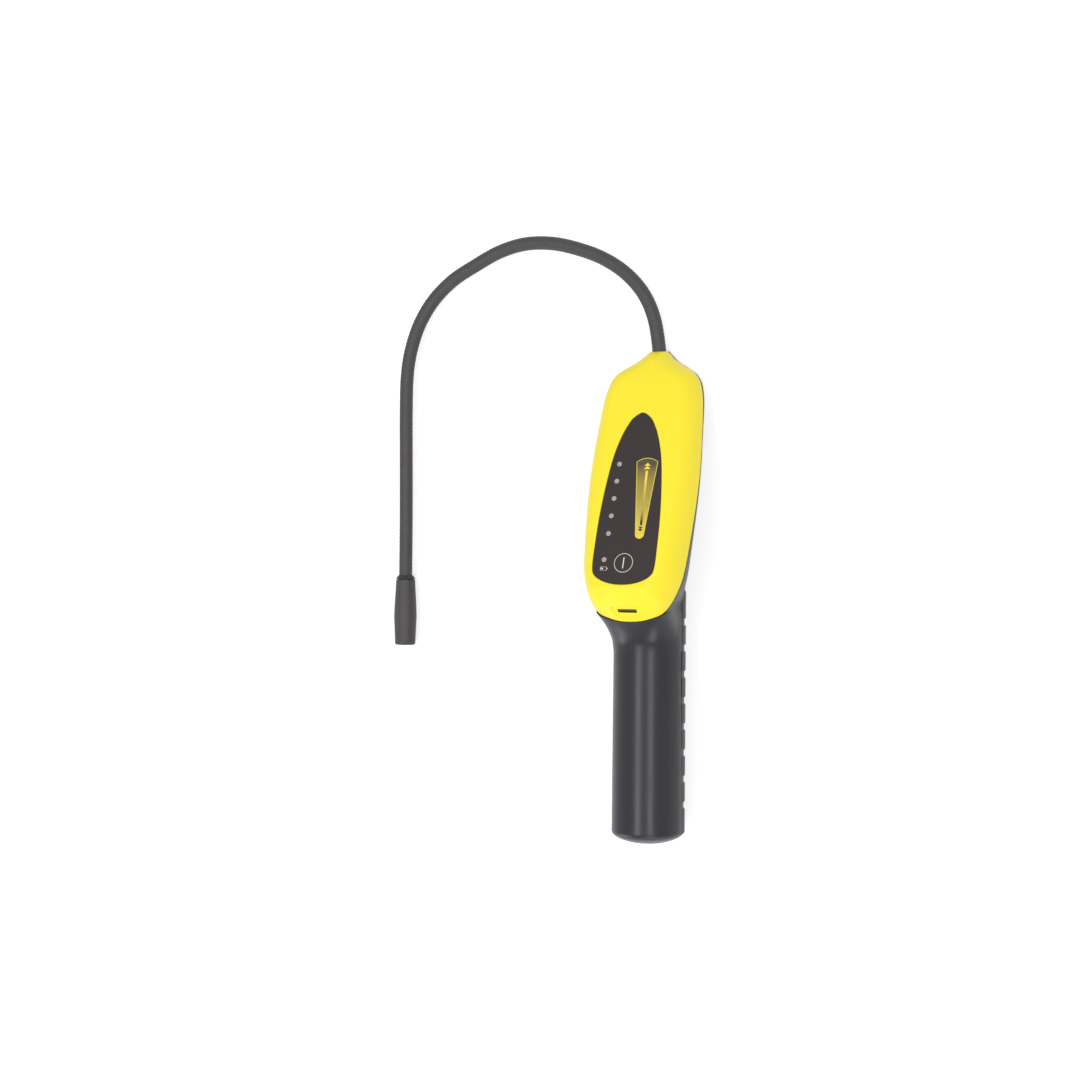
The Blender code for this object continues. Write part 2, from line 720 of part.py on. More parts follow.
def front_cover():
    cover = cover_shell("front_cover")
    posts = bmesh.new()
    buried = deck_inside - deck_wall / 2
    for side in (-1, 1):
        spot = Matrix.Translation((side * cover_screw_x, cover_screw_h, 0))
        foot = -parting_depth(cover_screw_h) + seat_gap
        rod(screw_radius + seat_gap + boss_wall, foot, -buried, 16, posts, spot)
        for h in (board_screw_low_h, board_screw_high_h):
            spot = Matrix.Translation((side * board_screw_x, h, 0))
            rod(post_radius, -board_depth + seat_gap, -buried, 14, posts, spot)
    add(cover, posts, "cover_posts", panel)
    pilots = bmesh.new()
    bore = screw_radius + seat_gap
    for side in (-1, 1):
        spot = Matrix.Translation((side * cover_screw_x, cover_screw_h, 0))
        depth = parting_depth(cover_screw_h)
        top = -depth - cover_screw_seat + cover_screw_length + seat_gap
        rod(bore, -depth - past, top, 12, pilots, spot)
        for h in (board_screw_low_h, board_screw_high_h):
            spot = Matrix.Translation((side * board_screw_x, h, 0))
            top = -board_depth - board_thickness + board_screw_length + seat_gap
            rod(bore, -board_depth - past, top, 12, pilots, spot)
    cut(cover, pilots, "post_pilots", panel)
    recess = prism(overlay_outline(seat_gap), -film_under - seat_gap, past)
    cut(cover, recess, "overlay_recess", panel)
    holes = bmesh.new()
    for x, h in led_places():
        rod(led_radius + seat_gap, -deck_inside - past, past, 12, holes, Matrix.Translation((x, h, 0)))
    rod(button_radius + seat_gap, -deck_inside - past, past, 28, holes, Matrix.Translation((0, ring_h, 0)))
    cut(cover, holes, "panel_holes", panel)
    nose_bore(cover)
    cut(cover, chin_dish(), "chin_dish", chin)
    half, tall = slot_half_width, slot_half_height
    slot = block((-half, -tall, -cover_wall - past), (half, tall, past))
    cut(cover, slot, "snap_slot", chin)
    return cover


def chin_dish():
    # A shallow dish, wide at the top and narrow at the foot
    rings = []
    for inset, level in ((-dish_draft, dish_depth), (dish_draft, -dish_depth)):
        wide, narrow = dish_top_half - inset, dish_low_half - inset
        top, foot = dish_up - inset, inset - dish_down
        corners = ((wide, top), (-wide, top), (-narrow, foot), (narrow, foot))
        rings.append([Vector((x, y, level)) for x, y in corners])
    return loft(rings)


def overlay_outline(grow):
    # Arched at the top, nearly straight sides and a shallow arc at the bottom
    length = overlay_high_h - overlay_low_h
    corners = [(x * overlay_half_width, overlay_low_h + rise * length) for x, rise in overlay_shape]
    ends = [(-corners[1][0], corners[1][1]), (-corners[-2][0], corners[-2][1])]
    side = smooth_path(ends[:1] + corners + ends[1:], 2)[2:-2]
    loop = []
    for i, point in enumerate(side):
        before = side[i - 1] if i else Vector((-side[1].x, side[1].y))
        after = side[i + 1] if i + 1 < len(side) else Vector((-side[-2].x, side[-2].y))
        run = (after - before).normalized()
        x = point.x - run.y * grow if 0 < i < len(side) - 1 else 0.0
        loop.append((x, point.y + run.x * grow))
    return loop + [(-x, h) for x, h in reversed(loop[1:-1])]


def led_places():
    rise = led_count - 1
    column = [
        (led_x_low + (led_x_high - led_x_low) * k / rise, led_h_low + led_pitch * k)
        for k in range(led_count)
    ]
    return column + [(battery_led_x, battery_led_h)]


def front_overlay():
    film = prism(overlay_outline(0.0), -film_under, -overlay_sunk)
    return from_bmesh("front_overlay", film, dark_film, panel)


def power_button():
    low = -board_depth + seat_gap + switch_height + seat_gap + button_travel
    flange_top = -deck_inside - seat_gap
    top = -film_under - seat_gap
    wide = button_radius + button_rim + seat_gap
    profile = [
        (0, low), (wide, low), (wide, flange_top), (button_radius, flange_top),
        (button_radius, top), (0, top),
    ]
    button = from_bmesh("power_button", turned(profile, 28), door_plastic, panel)
    button.location = (0, ring_h, 0)


def circuit_board():
    outline = rounded_rectangle(board_half_width, board_low_h, board_high_h, board_corner)
    low = -board_depth - board_thickness
    board = from_bmesh("circuit_board", prism(outline, low, -board_depth), board_green, panel)
    holes = bmesh.new()
    for side in (-1, 1):
        for h in (board_screw_low_h, board_screw_high_h):
            spot = Matrix.Translation((side * board_screw_x, h, 0))
            rod(screw_radius + seat_gap, low - past, -board_depth + past, 12, holes, spot)
    cut(board, holes, "board_holes", panel)
    under = low - seat_gap
    half = chip_side / 2
    package = block((-half, -half, under - chip_height), (half, half, under))
    chip = from_bmesh("main_chip", package, chip_black, panel)
    chip.location = (chip_at[0], board_low_h + chip_at[1], 0)
    sounder = [
        (0, under - sounder_height), (sounder_radius * 0.2, under - sounder_height),
        (sounder_radius * 0.2, under - sounder_height + 1.5 * mm),
        (sounder_radius * 0.35, under - sounder_height + 1.5 * mm),
        (sounder_radius * 0.35, under - sounder_height), (sounder_radius, under - sounder_height),
        (sounder_radius, under), (0, under),
    ]
    piezo = from_bmesh("sounder", turned(sounder, 24), chip_black, panel)
    piezo.location = (sounder_at[0], board_low_h + sounder_at[1], 0)
    half = capacitor_height / 2
    can = from_bmesh("supply_capacitor", rod(capacitor_radius, -half, half, 20), cell_jacket, panel)
    can.rotation_euler = (pi / 2, 0, 0)
    can.location = (capacitor_at[0], board_high_h - capacitor_at[1], under - capacitor_radius)
    coil = from_bmesh("supply_coil", rod(coil_radius, under - coil_height, under, 20), chip_black, panel)
    coil.location = (coil_at[0], board_high_h - coil_at[1], 0)
    header = block((-socket_length / 2, -socket_width / 2, under - socket_height),
                   (socket_length / 2, socket_width / 2, under))
    plug = from_bmesh("probe_header", header, lens_grey, panel)
    plug.location = (header_at[0], board_high_h - header_at[1], 0)
    half = switch_side / 2
    stand = -board_depth + seat_gap
    switch = from_bmesh("power_switch", block((-half, -half, stand), (half, half, stand + switch_height)),
                        chip_black, panel)
    switch.location = (0, ring_h, 0)


def status_leds():
    foot = -board_depth + seat_gap
    top = -film_under - seat_gap
    flange = led_radius + 0.35 * mm
    profile = [
        (0, foot), (flange, foot), (flange, foot + 0.9 * mm), (led_radius, foot + 0.9 * mm),
        (led_radius, top - 0.7 * mm), (led_radius * 0.75, top - 0.15 * mm), (0, top),
    ]
    names = ["gas_led_%d" % (k + 1) for k in range(led_count)] + ["battery_led"]
    for name, (x, h) in zip(names, led_places()):
        led = from_bmesh(name, turned(profile, 12), lens_grey, panel)
        led.location = (x, h, 0)


def screw(name, length, place):
    head = screw_head_radius
    socket = 0.9 * mm
    profile = [
        (0, -screw_head_height + socket), (head * 0.35, -screw_head_height + socket),
        (head * 0.45, -screw_head_height), (head * 0.8, -screw_head_height),
        (head, -screw_head_height + 0.5 * mm), (head, 0), (screw_radius, 0),
        (screw_radius, length - 0.8 * mm), (screw_radius * 0.4, length), (0, length),
    ]
    fastener = from_bmesh(name, turned(profile, 8), spring_steel, panel)
    fastener.location = place


def screws():
    cover_seat = -parting_depth(cover_screw_h) - cover_screw_seat - seat_gap
    board_seat = -board_depth - board_thickness - seat_gap
    for side, word in ((-1, "left"), (1, "right")):
        screw("cover_screw_" + word, cover_screw_length, (side * cover_screw_x, cover_screw_h, cover_seat))
        for row, h in (("low", board_screw_low_h), ("high", board_screw_high_h)):
            name = "board_screw_%s_%s" % (row, word)
            screw(name, board_screw_length, (side * board_screw_x, h, board_seat))


def cells():
    edge = 0.8 * mm
    body = cell_length - cell_nub_height
    profile = [
        (0, 0), (cell_radius - 3 * edge, 0), (cell_radius, edge), (cell_radius, body - edge),
        (cell_radius - edge, body), (cell_nub_radius, body), (cell_nub_radius, cell_length - 0.4 * mm),
        (cell_nub_radius - 0.4 * mm, cell_length), (0, cell_length),
    ]
    start = grip_end_y + spring_room
    for name, low in (("battery_lower", start), ("battery_upper", start + cell_length + seat_gap)):
        cell = from_bmesh(name, turned(profile, 28), cell_jacket, grip_axis)
        cell.location = (0, 0, low)


def contacts():
    top = bay_top_y - seat_gap
    plate = contact_room - 2 * seat_gap
    disc = [(0, top - plate), (7.5 * mm, top - plate), (7.5 * mm, top), (0, top)]
    from_bmesh("positive_contact", turned(disc, 20), spring_steel, grip_axis)
    wire = 0.55 * mm
    low = grip_end_y + seat_gap + wire
    high = grip_end_y + spring_room - seat_gap - wire
    wide, narrow, coils, per_turn = 8.5 * mm, 5.0 * mm, 3.5, 12
    rings = []
    total = int(coils * per_turn)
    for k in range(total + 1):
        share = k / total
        turn = 2 * pi * coils * share
        radius = wide + (narrow - wide) * share
        centre = Vector((radius * cos(turn), radius * sin(turn), low + (high - low) * share))
        out = Vector((cos(turn), sin(turn), 0))
        up = Vector((0, 0, 1))
        around = [2 * pi * j / 6 for j in range(6)]
        rings.append([centre + wire * (out * cos(a) + up * sin(a)) for a in around])
    from_bmesh("negative_spring", loft(rings), spring_steel, grip_axis)


def swept(route, radius, sides, inner=None):
    # A tube, or a bar, along a level route
    rings = []
    for i, point in enumerate(route):
        ahead = route[min(i + 1, len(route) - 1)] - route[max(i - 1, 0)]
        out = Vector((ahead.y, -ahead.x, 0)).normalized()
        up = Vector((0, 0, 1))
        spokes = [out * cos(2 * pi * k / sides) + up * sin(2 * pi * k / sides) for k in range(sides)]
        rings.append([[point + r * spoke for spoke in spokes] for r in (radius, inner or radius)])
    if not inner:
        return loft([ring[0] for ring in rings])
    return loft([ring[0] for ring in rings] + [ring[1] for ring in reversed(rings)], closed_path=True)


def gooseneck():
    route = smooth_path([(x * mm, exit_y + y * mm, cap_radius) for x, y in gooseneck_route], 2)
    from_bmesh("gooseneck_sleeve", swept(route, gooseneck_radius, 10, gooseneck_bore), hose_black)
    from_bmesh("gooseneck_core", swept(route, core_radius, 6), spring_steel)
    middle = exit_y - nose_block / 2
    half = ferrule_length / 2
    inner = gooseneck_radius + seat_gap
    low, high = middle - half, middle + half
    ring = [(inner, low), (ferrule_radius, low), (ferrule_radius, high), (inner, high)]
    ferrule = from_bmesh("gooseneck_ferrule", turned(ring, 24), plated_brass, grip_axis)
    ferrule.location = (0, axis_height - cap_radius, 0)
    return route


def sensor_tip(route):
    end = route[-1]
    ahead = (route[-1] - route[-3]).normalized()
    turn = atan2(-ahead.x, ahead.y)
    tip = frame_empty("tip_frame", Matrix.Translation(end) @ Matrix.Rotation(turn, 4, "Z")
                      @ Matrix.Rotation(-pi / 2, 4, "X"))
    collar = seat_gap + collar_length
    barrel = collar + socket_depth
    profile = [
        (0, seat_gap), (gooseneck_radius + 0.2 * mm, seat_gap), (collar_radius, collar - 0.4 * mm),
        (collar_radius, collar), (socket_radius, collar), (socket_radius, barrel - 0.8 * mm),
        (socket_radius - 0.8 * mm, barrel), (0, barrel),
    ]
    from_bmesh("sensor_socket", turned(profile, 24), black_plastic, tip)
    foot = barrel + seat_gap
    top = foot + sensor_length
    profile = [
        (0, foot), (sensor_radius, foot), (sensor_radius, top - 0.6 * mm), (sensor_radius - 0.6 * mm, top),
        (1.6 * mm, top), (1.6 * mm, top - 1.0 * mm), (0, top - 1.0 * mm),
    ]
    from_bmesh("gas_sensor", turned(profile, 24), spring_steel, tip)
    low = collar + seat_gap
    high = low + cap_length
    bore = socket_radius + seat_gap
    ledge = high - inlet_depth - filter_thickness - 2 * seat_gap
    profile = [
        (bore, low), (collar_radius - 0.3 * mm, low), (collar_radius, low + 0.5 * mm),
        (cap_radius - 0.35 * mm, cap_widest - 9 * mm), (cap_radius, cap_widest),
        (cap_radius - 0.2 * mm, cap_widest + 5 * mm),
        (cap_end_radius, high - 0.7 * mm), (cap_end_radius - 0.7 * mm, high), (inlet_radius, high),
        (inlet_radius, ledge), (inlet_radius - 1.2 * mm, ledge), (inlet_radius - 1.2 * mm, ledge - 1.2 * mm),
        (bore, ledge - 1.2 * mm),
    ]
    cap = from_bmesh("tip_cap", turned(profile, 28), cap_rubber, tip)
    vents = bmesh.new()
    vent = [(-vent_width / 2, -vent_length / 2), (vent_width / 2, -vent_length / 2),
            (vent_width / 2, vent_length / 2), (-vent_width / 2, vent_length / 2)]
    for side in (-1, 1):
        near, far = sorted((side * (socket_radius - past), side * (cap_radius + past)))
        prism(vent, near, far, "X", vents, Matrix.Translation((0, 0, low + vent_place)))
    cut(cap, vents, "cap_vents", tip)
    seat = ledge + seat_gap
    felt = rod(inlet_radius - seat_gap, seat, seat + filter_thickness, 24)
    from_bmesh("inlet_filter", felt, filter_felt, tip)


main_housing()
battery_door()
front_cover()
front_overlay()
power_button()
circuit_board()
status_leds()
screws()
cells()
contacts()
sensor_tip(gooseneck())
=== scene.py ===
from math import atan2, cos, pi, radians, sin, tan

import bmesh
import bpy
from mathutils import Matrix, Vector
from mathutils.geometry import delaunay_2d_cdt


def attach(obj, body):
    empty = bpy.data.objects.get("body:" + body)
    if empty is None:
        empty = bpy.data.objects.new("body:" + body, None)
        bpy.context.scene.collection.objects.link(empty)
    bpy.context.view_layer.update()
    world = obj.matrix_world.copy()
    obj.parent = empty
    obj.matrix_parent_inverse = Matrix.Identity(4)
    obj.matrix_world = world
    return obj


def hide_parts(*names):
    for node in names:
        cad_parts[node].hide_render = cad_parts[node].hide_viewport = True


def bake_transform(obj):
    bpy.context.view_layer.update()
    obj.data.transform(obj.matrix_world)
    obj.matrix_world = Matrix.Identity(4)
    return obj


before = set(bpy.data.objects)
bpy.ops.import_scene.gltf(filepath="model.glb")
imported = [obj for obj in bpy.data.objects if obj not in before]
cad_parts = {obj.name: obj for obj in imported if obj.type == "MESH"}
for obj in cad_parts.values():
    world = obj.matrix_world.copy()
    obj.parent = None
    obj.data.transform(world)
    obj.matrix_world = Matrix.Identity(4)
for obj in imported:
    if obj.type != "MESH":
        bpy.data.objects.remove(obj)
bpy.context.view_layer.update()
print("frame loaded")


def moved(place):
    return Matrix.Translation(place)


def turned(angle, axis):
    return Matrix.Rotation(angle, 4, axis)


panel = {"tilt": radians(18.25), "origin": Vector((0, 88.7, 61.2))}
panelFrame = moved(panel["origin"]) @ turned(-panel["tilt"], "X")
gripAxis = 21.2  # height of the grip's middle line
hoseAxis = 7.0
alongY = turned(-pi / 2, "X")  # lays local Z along Y
gripFrame = moved((0, 0, gripAxis)) @ alongY
clear = 1.0  # how far a cutting shape stands out of what it cuts


# shader helpers

class Wire:
    # a node's output, so that shader maths reads as plain sums
    def __init__(self, graph, socket):
        self.graph = graph
        self.socket = socket

    def maths(self, kind, *others, clamp=False):
        values = dict(enumerate((self,) + others))
        return self.graph.node("ShaderNodeMath", {"operation": kind, "use_clamp": clamp}, values)

    def __add__(self, other):
        return self.maths("ADD", other)

    __radd__ = __add__

    def __mul__(self, other):
        return self.maths("MULTIPLY", other)

    __rmul__ = __mul__

    def __sub__(self, other):
        return self.maths("SUBTRACT", other)

    def __rsub__(self, other):
        return self.graph.node("ShaderNodeMath", {"operation": "SUBTRACT"}, {0: other, 1: self})

    def __truediv__(self, other):
        return self.maths("DIVIDE", other)

    def __pow__(self, other):
        return self.maths("POWER", other)

    def __abs__(self):
        return self.maths("ABSOLUTE")

    def least(self, other):
        return self.maths("MINIMUM", other)

    def most(self, other):
        return self.maths("MAXIMUM", other)

    def limited(self):  # kept between 0 and 1
        return self.maths("MULTIPLY", 1.0, clamp=True)

    def under(self, edge, soft=0.06):  # 1 where the value is below the edge
        return ((edge - self) / soft + 0.5).limited()

    def over(self, edge, soft=0.06):
        return ((self - edge) / soft + 0.5).limited()


class Graph:
    # a node tree, in which every node is made by the one method here
    def __init__(self, tree):
        self.tree = tree

    def node(self, kind, settings=None, sockets=None, out=0):
        made = self.tree.nodes.new(kind)
        for key, value in (settings or {}).items():
            if key == "stops":
                ramp = made.color_ramp
                while len(ramp.elements) < len(value):
                    ramp.elements.new(1.0)
                for stop, (at, colour) in zip(ramp.elements, value):
                    stop.position = at
                    stop.color = (*colour, 1)
            else:
                setattr(made, key, value)
        for key, value in (sockets or {}).items():
            self.join(value, made.inputs[key])
        return Wire(self, made.outputs[out])

    def join(self, value, socket):
        if isinstance(value, Wire):
            self.tree.links.new(value.socket, socket)
        elif isinstance(value, tuple) and len(value) == 3 and socket.type == "RGBA":
            socket.default_value = (*value, 1)
        else:
            socket.default_value = value


class Finish(Graph):
    # one material and its graph
    def __init__(self, name, colour, rough, metal=0.0, **fixed):
        self.material = bpy.data.materials.new(name)
        self.material.use_nodes = True
        super().__init__(self.material.node_tree)
        self.shader = self.tree.nodes["Principled BSDF"]
        self.where = None
        self.feed("Base Color", colour)
        self.feed("Roughness", rough)
        self.feed("Metallic", metal)
        for socket, value in fixed.items():
            self.feed(socket.replace("_", " "), value)

    def feed(self, name, value):
        self.join(value, self.shader.inputs[name])

    def place(self):  # position in the frame, in millimetres
        if not self.where:
            spot = self.node("ShaderNodeTexCoord", out="Object")
            self.where = self.node("ShaderNodeVectorMath", {"operation": "SCALE"}, {0: spot, "Scale": 1000.0})
        return self.where

    def parts(self):
        split = self.node("ShaderNodeSeparateXYZ", None, {0: self.place()})
        return [Wire(self, socket) for socket in split.socket.node.outputs]

    def noise(self, scale, detail=3.0, rough=0.55, stretch=None):
        where = self.place()
        if stretch:
            where = self.node("ShaderNodeVectorMath", {"operation": "MULTIPLY"}, {0: where, 1: stretch})
        sockets = {"Vector": where, "Scale": scale, "Detail": detail, "Roughness": rough}
        return self.node("ShaderNodeTexNoise", None, sockets)

    def mix(self, share, low, high):
        return self.node("ShaderNodeMix", {"data_type": "RGBA"}, {0: share, 6: low, 7: high}, out=2)

    def dress(self, colour, rough, height=None, strength=0.0, distance=0.0, edges=0.0):
        # feeds what varies over the surface; its edges can shade as if rounded
        self.feed("Base Color", colour)
        self.feed("Roughness", rough)
        if height:
            bump = {"Height": height, "Strength": strength, "Distance": distance}
            if edges:
                bump["Normal"] = self.node("ShaderNodeBevel", {"samples": 6}, {"Radius": edges})
            self.feed("Normal", self.node("ShaderNodeBump", None, bump))
        return self.material


def tinted(colour, times, more=0.0):
    return tuple(min(1.0, c * times + more) for c in colour)


def mouldedPlastic(name, colour, rough, grain, depth, tint, edges=0.0, **fixed):
    # fine spark-eroded grain, faint flow clouds and a little handling shine
    made = Finish(name, colour, rough, **fixed)
    fine = made.noise(grain, 4.0, 0.6)
    clouds = made.noise(0.035, 2.0, 0.5)
    rubbed = made.noise(0.12, stretch=(1.0, 0.35, 1.0))
    dark, pale = tinted(colour, 1 - tint), tinted(colour, 1 + tint, 0.002)
    mottled = made.mix(clouds * 0.7 + fine * 0.3, dark, pale)
    return made.dress(mottled, rough - 0.07 + rubbed * 0.10 + fine * 0.04, fine, depth, 0.00004, edges)


def sleeveRubber(name, colour, rough, edges=0.0):
    # matt elastomer with a trace of dust
    made = Finish(name, colour, rough)
    fine = made.noise(1.8, 4.0, 0.65)
    dust = made.noise(0.25, 3.0, 0.6).over(0.62, 0.3)
    specks = made.noise(0.9, 2.0, 0.5).over(0.71, 0.05)
    dusty = made.mix(dust * 0.5 + specks * 0.5, colour, tinted(colour, 1.3, 0.003))
    return made.dress(dusty, rough - 0.05 + fine * 0.12, fine, 0.4, 0.00005, edges)


def platedMetal(name, colour, rough):
    # drawn or turned metal: fine lines one way, faint stains
    made = Finish(name, colour, rough, 1.0)
    lines = made.noise(0.9, 3.0, 0.7, (1.0, 1.0, 12.0))
    stains = made.noise(0.18, 3.0, 0.6)
    stained = made.mix(stains * 0.6, colour, tinted(colour, 0.72))
    return made.dress(stained, rough + lines * 0.16 + stains * 0.06 - 0.08, lines, 0.25, 0.00003)


def boardMask(name, mask, copper):
    # solder mask over etched tracks
    made = Finish(name, mask, 0.42)
    pattern = {"Vector": made.place(), "Scale": 0.16, "Mortar Size": 0.03}
    pattern.update({"Color1": (0, 0, 0), "Color2": (0, 0, 0), "Mortar": (1, 1, 1)})
    tracks = made.node("ShaderNodeTexBrick", {"offset": 0.5}, pattern)
    speck = made.noise(0.8)
    etched = made.mix(tracks, made.mix(speck, mask, tinted(mask, 0.8)), copper)
    return made.dress(etched, 0.36 + speck * 0.12, tracks, 0.4, 0.00003)


# the D cells, one behind the other in the grip; the band and the bare top are measured from a cell's foot
cells = {
    "radius": 17.1, "length": 61.5, "nub": 4.75, "nubHeight": 1.5, "starts": (-62.3, -0.5), "pitch": 61.8,
    "band": (38.0, 55.0), "bareRadius": 13.5, "bareFrom": 59.2, "steel": (0.62, 0.60, 0.56),
}


def cellJacket(name, colour, band):
    # printed shrink sleeve with a metallic band at the top, bare steel round the nub
    made = Finish(name, colour, 0.3, Coat_Weight=0.4)
    x, y, z = made.parts()
    z = z - gripAxis
    along = (y - cells["starts"][0]).maths("MODULO", cells["pitch"])
    low, high = cells["band"]
    ring = along.over(low, 0.3) * along.under(high, 0.3)
    bare = (x * x + z * z).under(cells["bareRadius"] ** 2, 20.0) * along.over(cells["bareFrom"], 0.3)
    speck = made.noise(0.5, 2.0)
    sleeve = made.mix(ring, made.mix(speck, colour, tinted(colour, 0.85)), band)
    made.feed("Metallic", (ring * 0.7).most(bare))
    return made.dress(made.mix(bare, sleeve, cells["steel"]), 0.26 + speck * 0.1)


def feltDisc(name, colour):
    made = Finish(name, colour, 0.92)
    fibres = made.noise(3.0, 5.0, 0.75, (1.0, 0.4, 1.6))
    fluffed = made.mix(fibres, tinted(colour, 0.75), colour)
    return made.dress(fluffed, 0.86 + fibres * 0.1, fibres, 0.9, 0.0002)


# the print on the film; places are across and up the panel
filmLook = {
    "ink": (0.027, 0.0195, 0.0195), "yellow": (0.90, 0.72, 0.07), "pale": (0.78, 0.76, 0.75),
    "lamp": (0.40, 0.37, 0.36), "upColour": (0.90, 0.72, 0.09), "downColour": (0.045, 0.036, 0.028),
    "ring": (-0.05, -0.5, 5.58, 0.32),  # middle, radius, line
    "bar": (-0.1, -0.55, 0.3, 3.25, 0.02),  # middle, half width, half height, lean
    "lampRadius": 1.45,
    "lamps": [(-11.65, 17.1), (-11.35, 27.8), (-11.05, 38.4), (-10.75, 49.0), (-10.45, 59.5), (-12.25, 1.35)],
    # the wedge's foot, top, half width and how it widens, lean, arch and rim
    "wedge": (7.5, 16.75, 63.2, 2.72, 0.0888, -0.017, 2.4, 0.34),
    "rise": (14.0, 45.36),  # where the fade starts, and its length
    "fade": [(0.0, (0.94, 0.77, 0.075)), (0.22, (0.76, 0.59, 0.08)), (0.45, (0.53, 0.42, 0.075)),
             (0.78, (0.36, 0.27, 0.06)), (0.90, (0.24, 0.175, 0.05)), (1.0, (0.10, 0.075, 0.035))],
    "dots": (0.10, 0.08, 0.04),
    "upArrows": [(7.1, 60.2, 3.9, 1.9), (7.1, 58.3, 4.3, 2.0)],  # middle, tip, width, height
    "downArrows": [(7.65, 18.4, 3.2, 1.5), (7.6, 19.8, 3.0, 1.5)],
    "stem": (7.1, 55.4, 0.018, 0.72, 22.2, 55.3),  # top, lean, half width, from, to
    "bright": (35.0, 16.0), "dim": (32.5, 8.0),  # where the stem turns bright or dark, and how softly
    "battery": [(-11.9, -4.0, 1.9, 1.0), (-12.8, -4.0, 0.55, 0.5), (-9.75, -4.0, 0.3, 0.333)],
}


def printedFilm(name):
    look = filmLook
    made = Finish(name, look["ink"], 0.34, Specular_IOR_Level=0.28)
    x, y, z = made.parts()
    origin = panel["origin"]
    h = (y - origin.y) * cos(panel["tilt"]) - (z - origin.z) * sin(panel["tilt"])

    def away(cx, ch):  # distance from a point on the panel
        dx, dh = x - cx, h - ch
        return (dx * dx + dh * dh) ** 0.5

    def outside(cx, ch, wide, tall):  # how far out of a small rectangle
        return abs(x - cx).most(abs(h - ch) * (wide / tall)) - wide

    def chevron(cx, tip, width, tall, up):
        down = (tip - h) if up else (h - tip)
        leg = abs(x - cx) - down * (width / tall / 2)
        return leg.under(0.0, 0.12) * down.under(tall, 0.12) * down.over(0.0, 0.12)

    lamps = away(*look["lamps"][0]).under(look["lampRadius"], 0.12)
    for spot in look["lamps"][1:]:
        lamps = lamps.most(away(*spot).under(look["lampRadius"], 0.12))

    ringX, ringH, radius, line = look["ring"]
    ring = abs(away(ringX, ringH) - radius).under(line / 2, 0.1)
    barX, barH, thin, tall, lean = look["bar"]
    bar = abs(x - barX - (h - barH) * lean).most(abs(h - barH) - (tall - thin)).under(thin, 0.1)
    white = ring.most(bar)

    # the wedge: leaning sides, a shallow arc on top and a round foot
    wedgeX, wedgeH, wedgeTop, width, widening, lean, arch, rimWidth = look["wedge"]
    fromMiddle = x - (wedgeX + (h - wedgeH) * lean)
    half = width + (h - wedgeH) * widening
    share = fromMiddle / half
    crown = h - (wedgeTop - share * share * arch)
    foot = away(wedgeX, wedgeH + 0.05) - width
    inside = (abs(fromMiddle) - half).most(crown).most(wedgeH - h).least(foot)
    wedge = inside.under(0.0, 0.08)
    rim = wedge * inside.over(-rimWidth, 0.08)
    start, run = look["rise"]
    fade = made.node("ShaderNodeValToRGB", {"stops": look["fade"]}, {0: (h - start) / run})
    fade = made.mix((made.noise(2.4, 1.0) - 0.5) * 0.5 + 0.12, fade, look["dots"])

    # the arrow up and the arrow down share a stem
    up, down = ([chevron(*arrow, rising) for arrow in look[key]]
                for key, rising in (("upArrows", True), ("downArrows", False)))
    stemX, stemH, lean, width, low, high = look["stem"]
    beside = abs(x - (stemX + (stemH - h) * lean)) - width
    stem = beside.under(0.0, 0.15) * h.under(high, 0.2) * h.over(low, 0.2)
    start, run = look["bright"]
    bright = stem * ((h - start) / run).limited()
    start, run = look["dim"]
    dim = stem * ((start - h) / run).limited()

    # a plain battery mark: its outline, its charge and its nub
    body, charge, nub = (outside(*block) for block in look["battery"])
    battery = abs(body).under(0.13, 0.08).most(charge.under(0.0, 0.08)).most(nub.under(0.0, 0.08))

    fine = made.noise(5.0, 4.0, 0.6)
    colour = made.mix(wedge, made.mix(fine, look["ink"], tinted(look["ink"], 1.25)), fade)
    colour = made.mix(rim, colour, look["yellow"])
    colour = made.mix(bright.most(up[0].most(up[1])), colour, look["upColour"])
    colour = made.mix(dim.most(down[0].most(down[1])), colour, look["downColour"])
    colour = made.mix(lamps, colour, look["lamp"])
    colour = made.mix(white.most(battery), colour, look["pale"])
    height = fine * 0.35 + lamps.most(white).most(rim) * 0.5
    return made.dress(colour, 0.33 + fine * 0.08 - lamps * 0.14, height, 0.3, 0.00005)


looks = {
    "housing": mouldedPlastic("housing", (0.0045, 0.0038, 0.0100), 0.31, 2.6, 0.55, 0.2, 0.0004),
    "cover": mouldedPlastic("cover", (0.985, 0.825, 0.036), 0.36, 3.0, 0.12, 0.012, 0.0003,
                            Specular_IOR_Level=0.25),
    "door": mouldedPlastic("door", (0.040, 0.038, 0.044), 0.42, 2.4, 0.5, 0.15, 0.0003),
    "film": printedFilm("film"),
    "hose": sleeveRubber("hose", (0.044, 0.040, 0.044), 0.52),
    "tip": sleeveRubber("tip", (0.044, 0.039, 0.043), 0.50, 0.0003),
    "socket": sleeveRubber("socket", (0.014, 0.013, 0.015), 0.55, 0.0002),
    "steel": platedMetal("steel", (0.62, 0.61, 0.58), 0.32),
    "brass": platedMetal("brass", (0.66, 0.53, 0.28), 0.34),
    "board": boardMask("board", (0.02, 0.13, 0.05), (0.05, 0.22, 0.08)),
    "chip": mouldedPlastic("chip", (0.018, 0.018, 0.019), 0.55, 6.0, 0.3, 0.1),
    "cell": cellJacket("cell", (0.06, 0.11, 0.22), (0.72, 0.60, 0.36)),
    "lens": mouldedPlastic("lens", (0.50, 0.47, 0.46), 0.26, 5.0, 0.1, 0.05),
    "felt": feltDisc("felt", (0.74, 0.73, 0.69)),
}

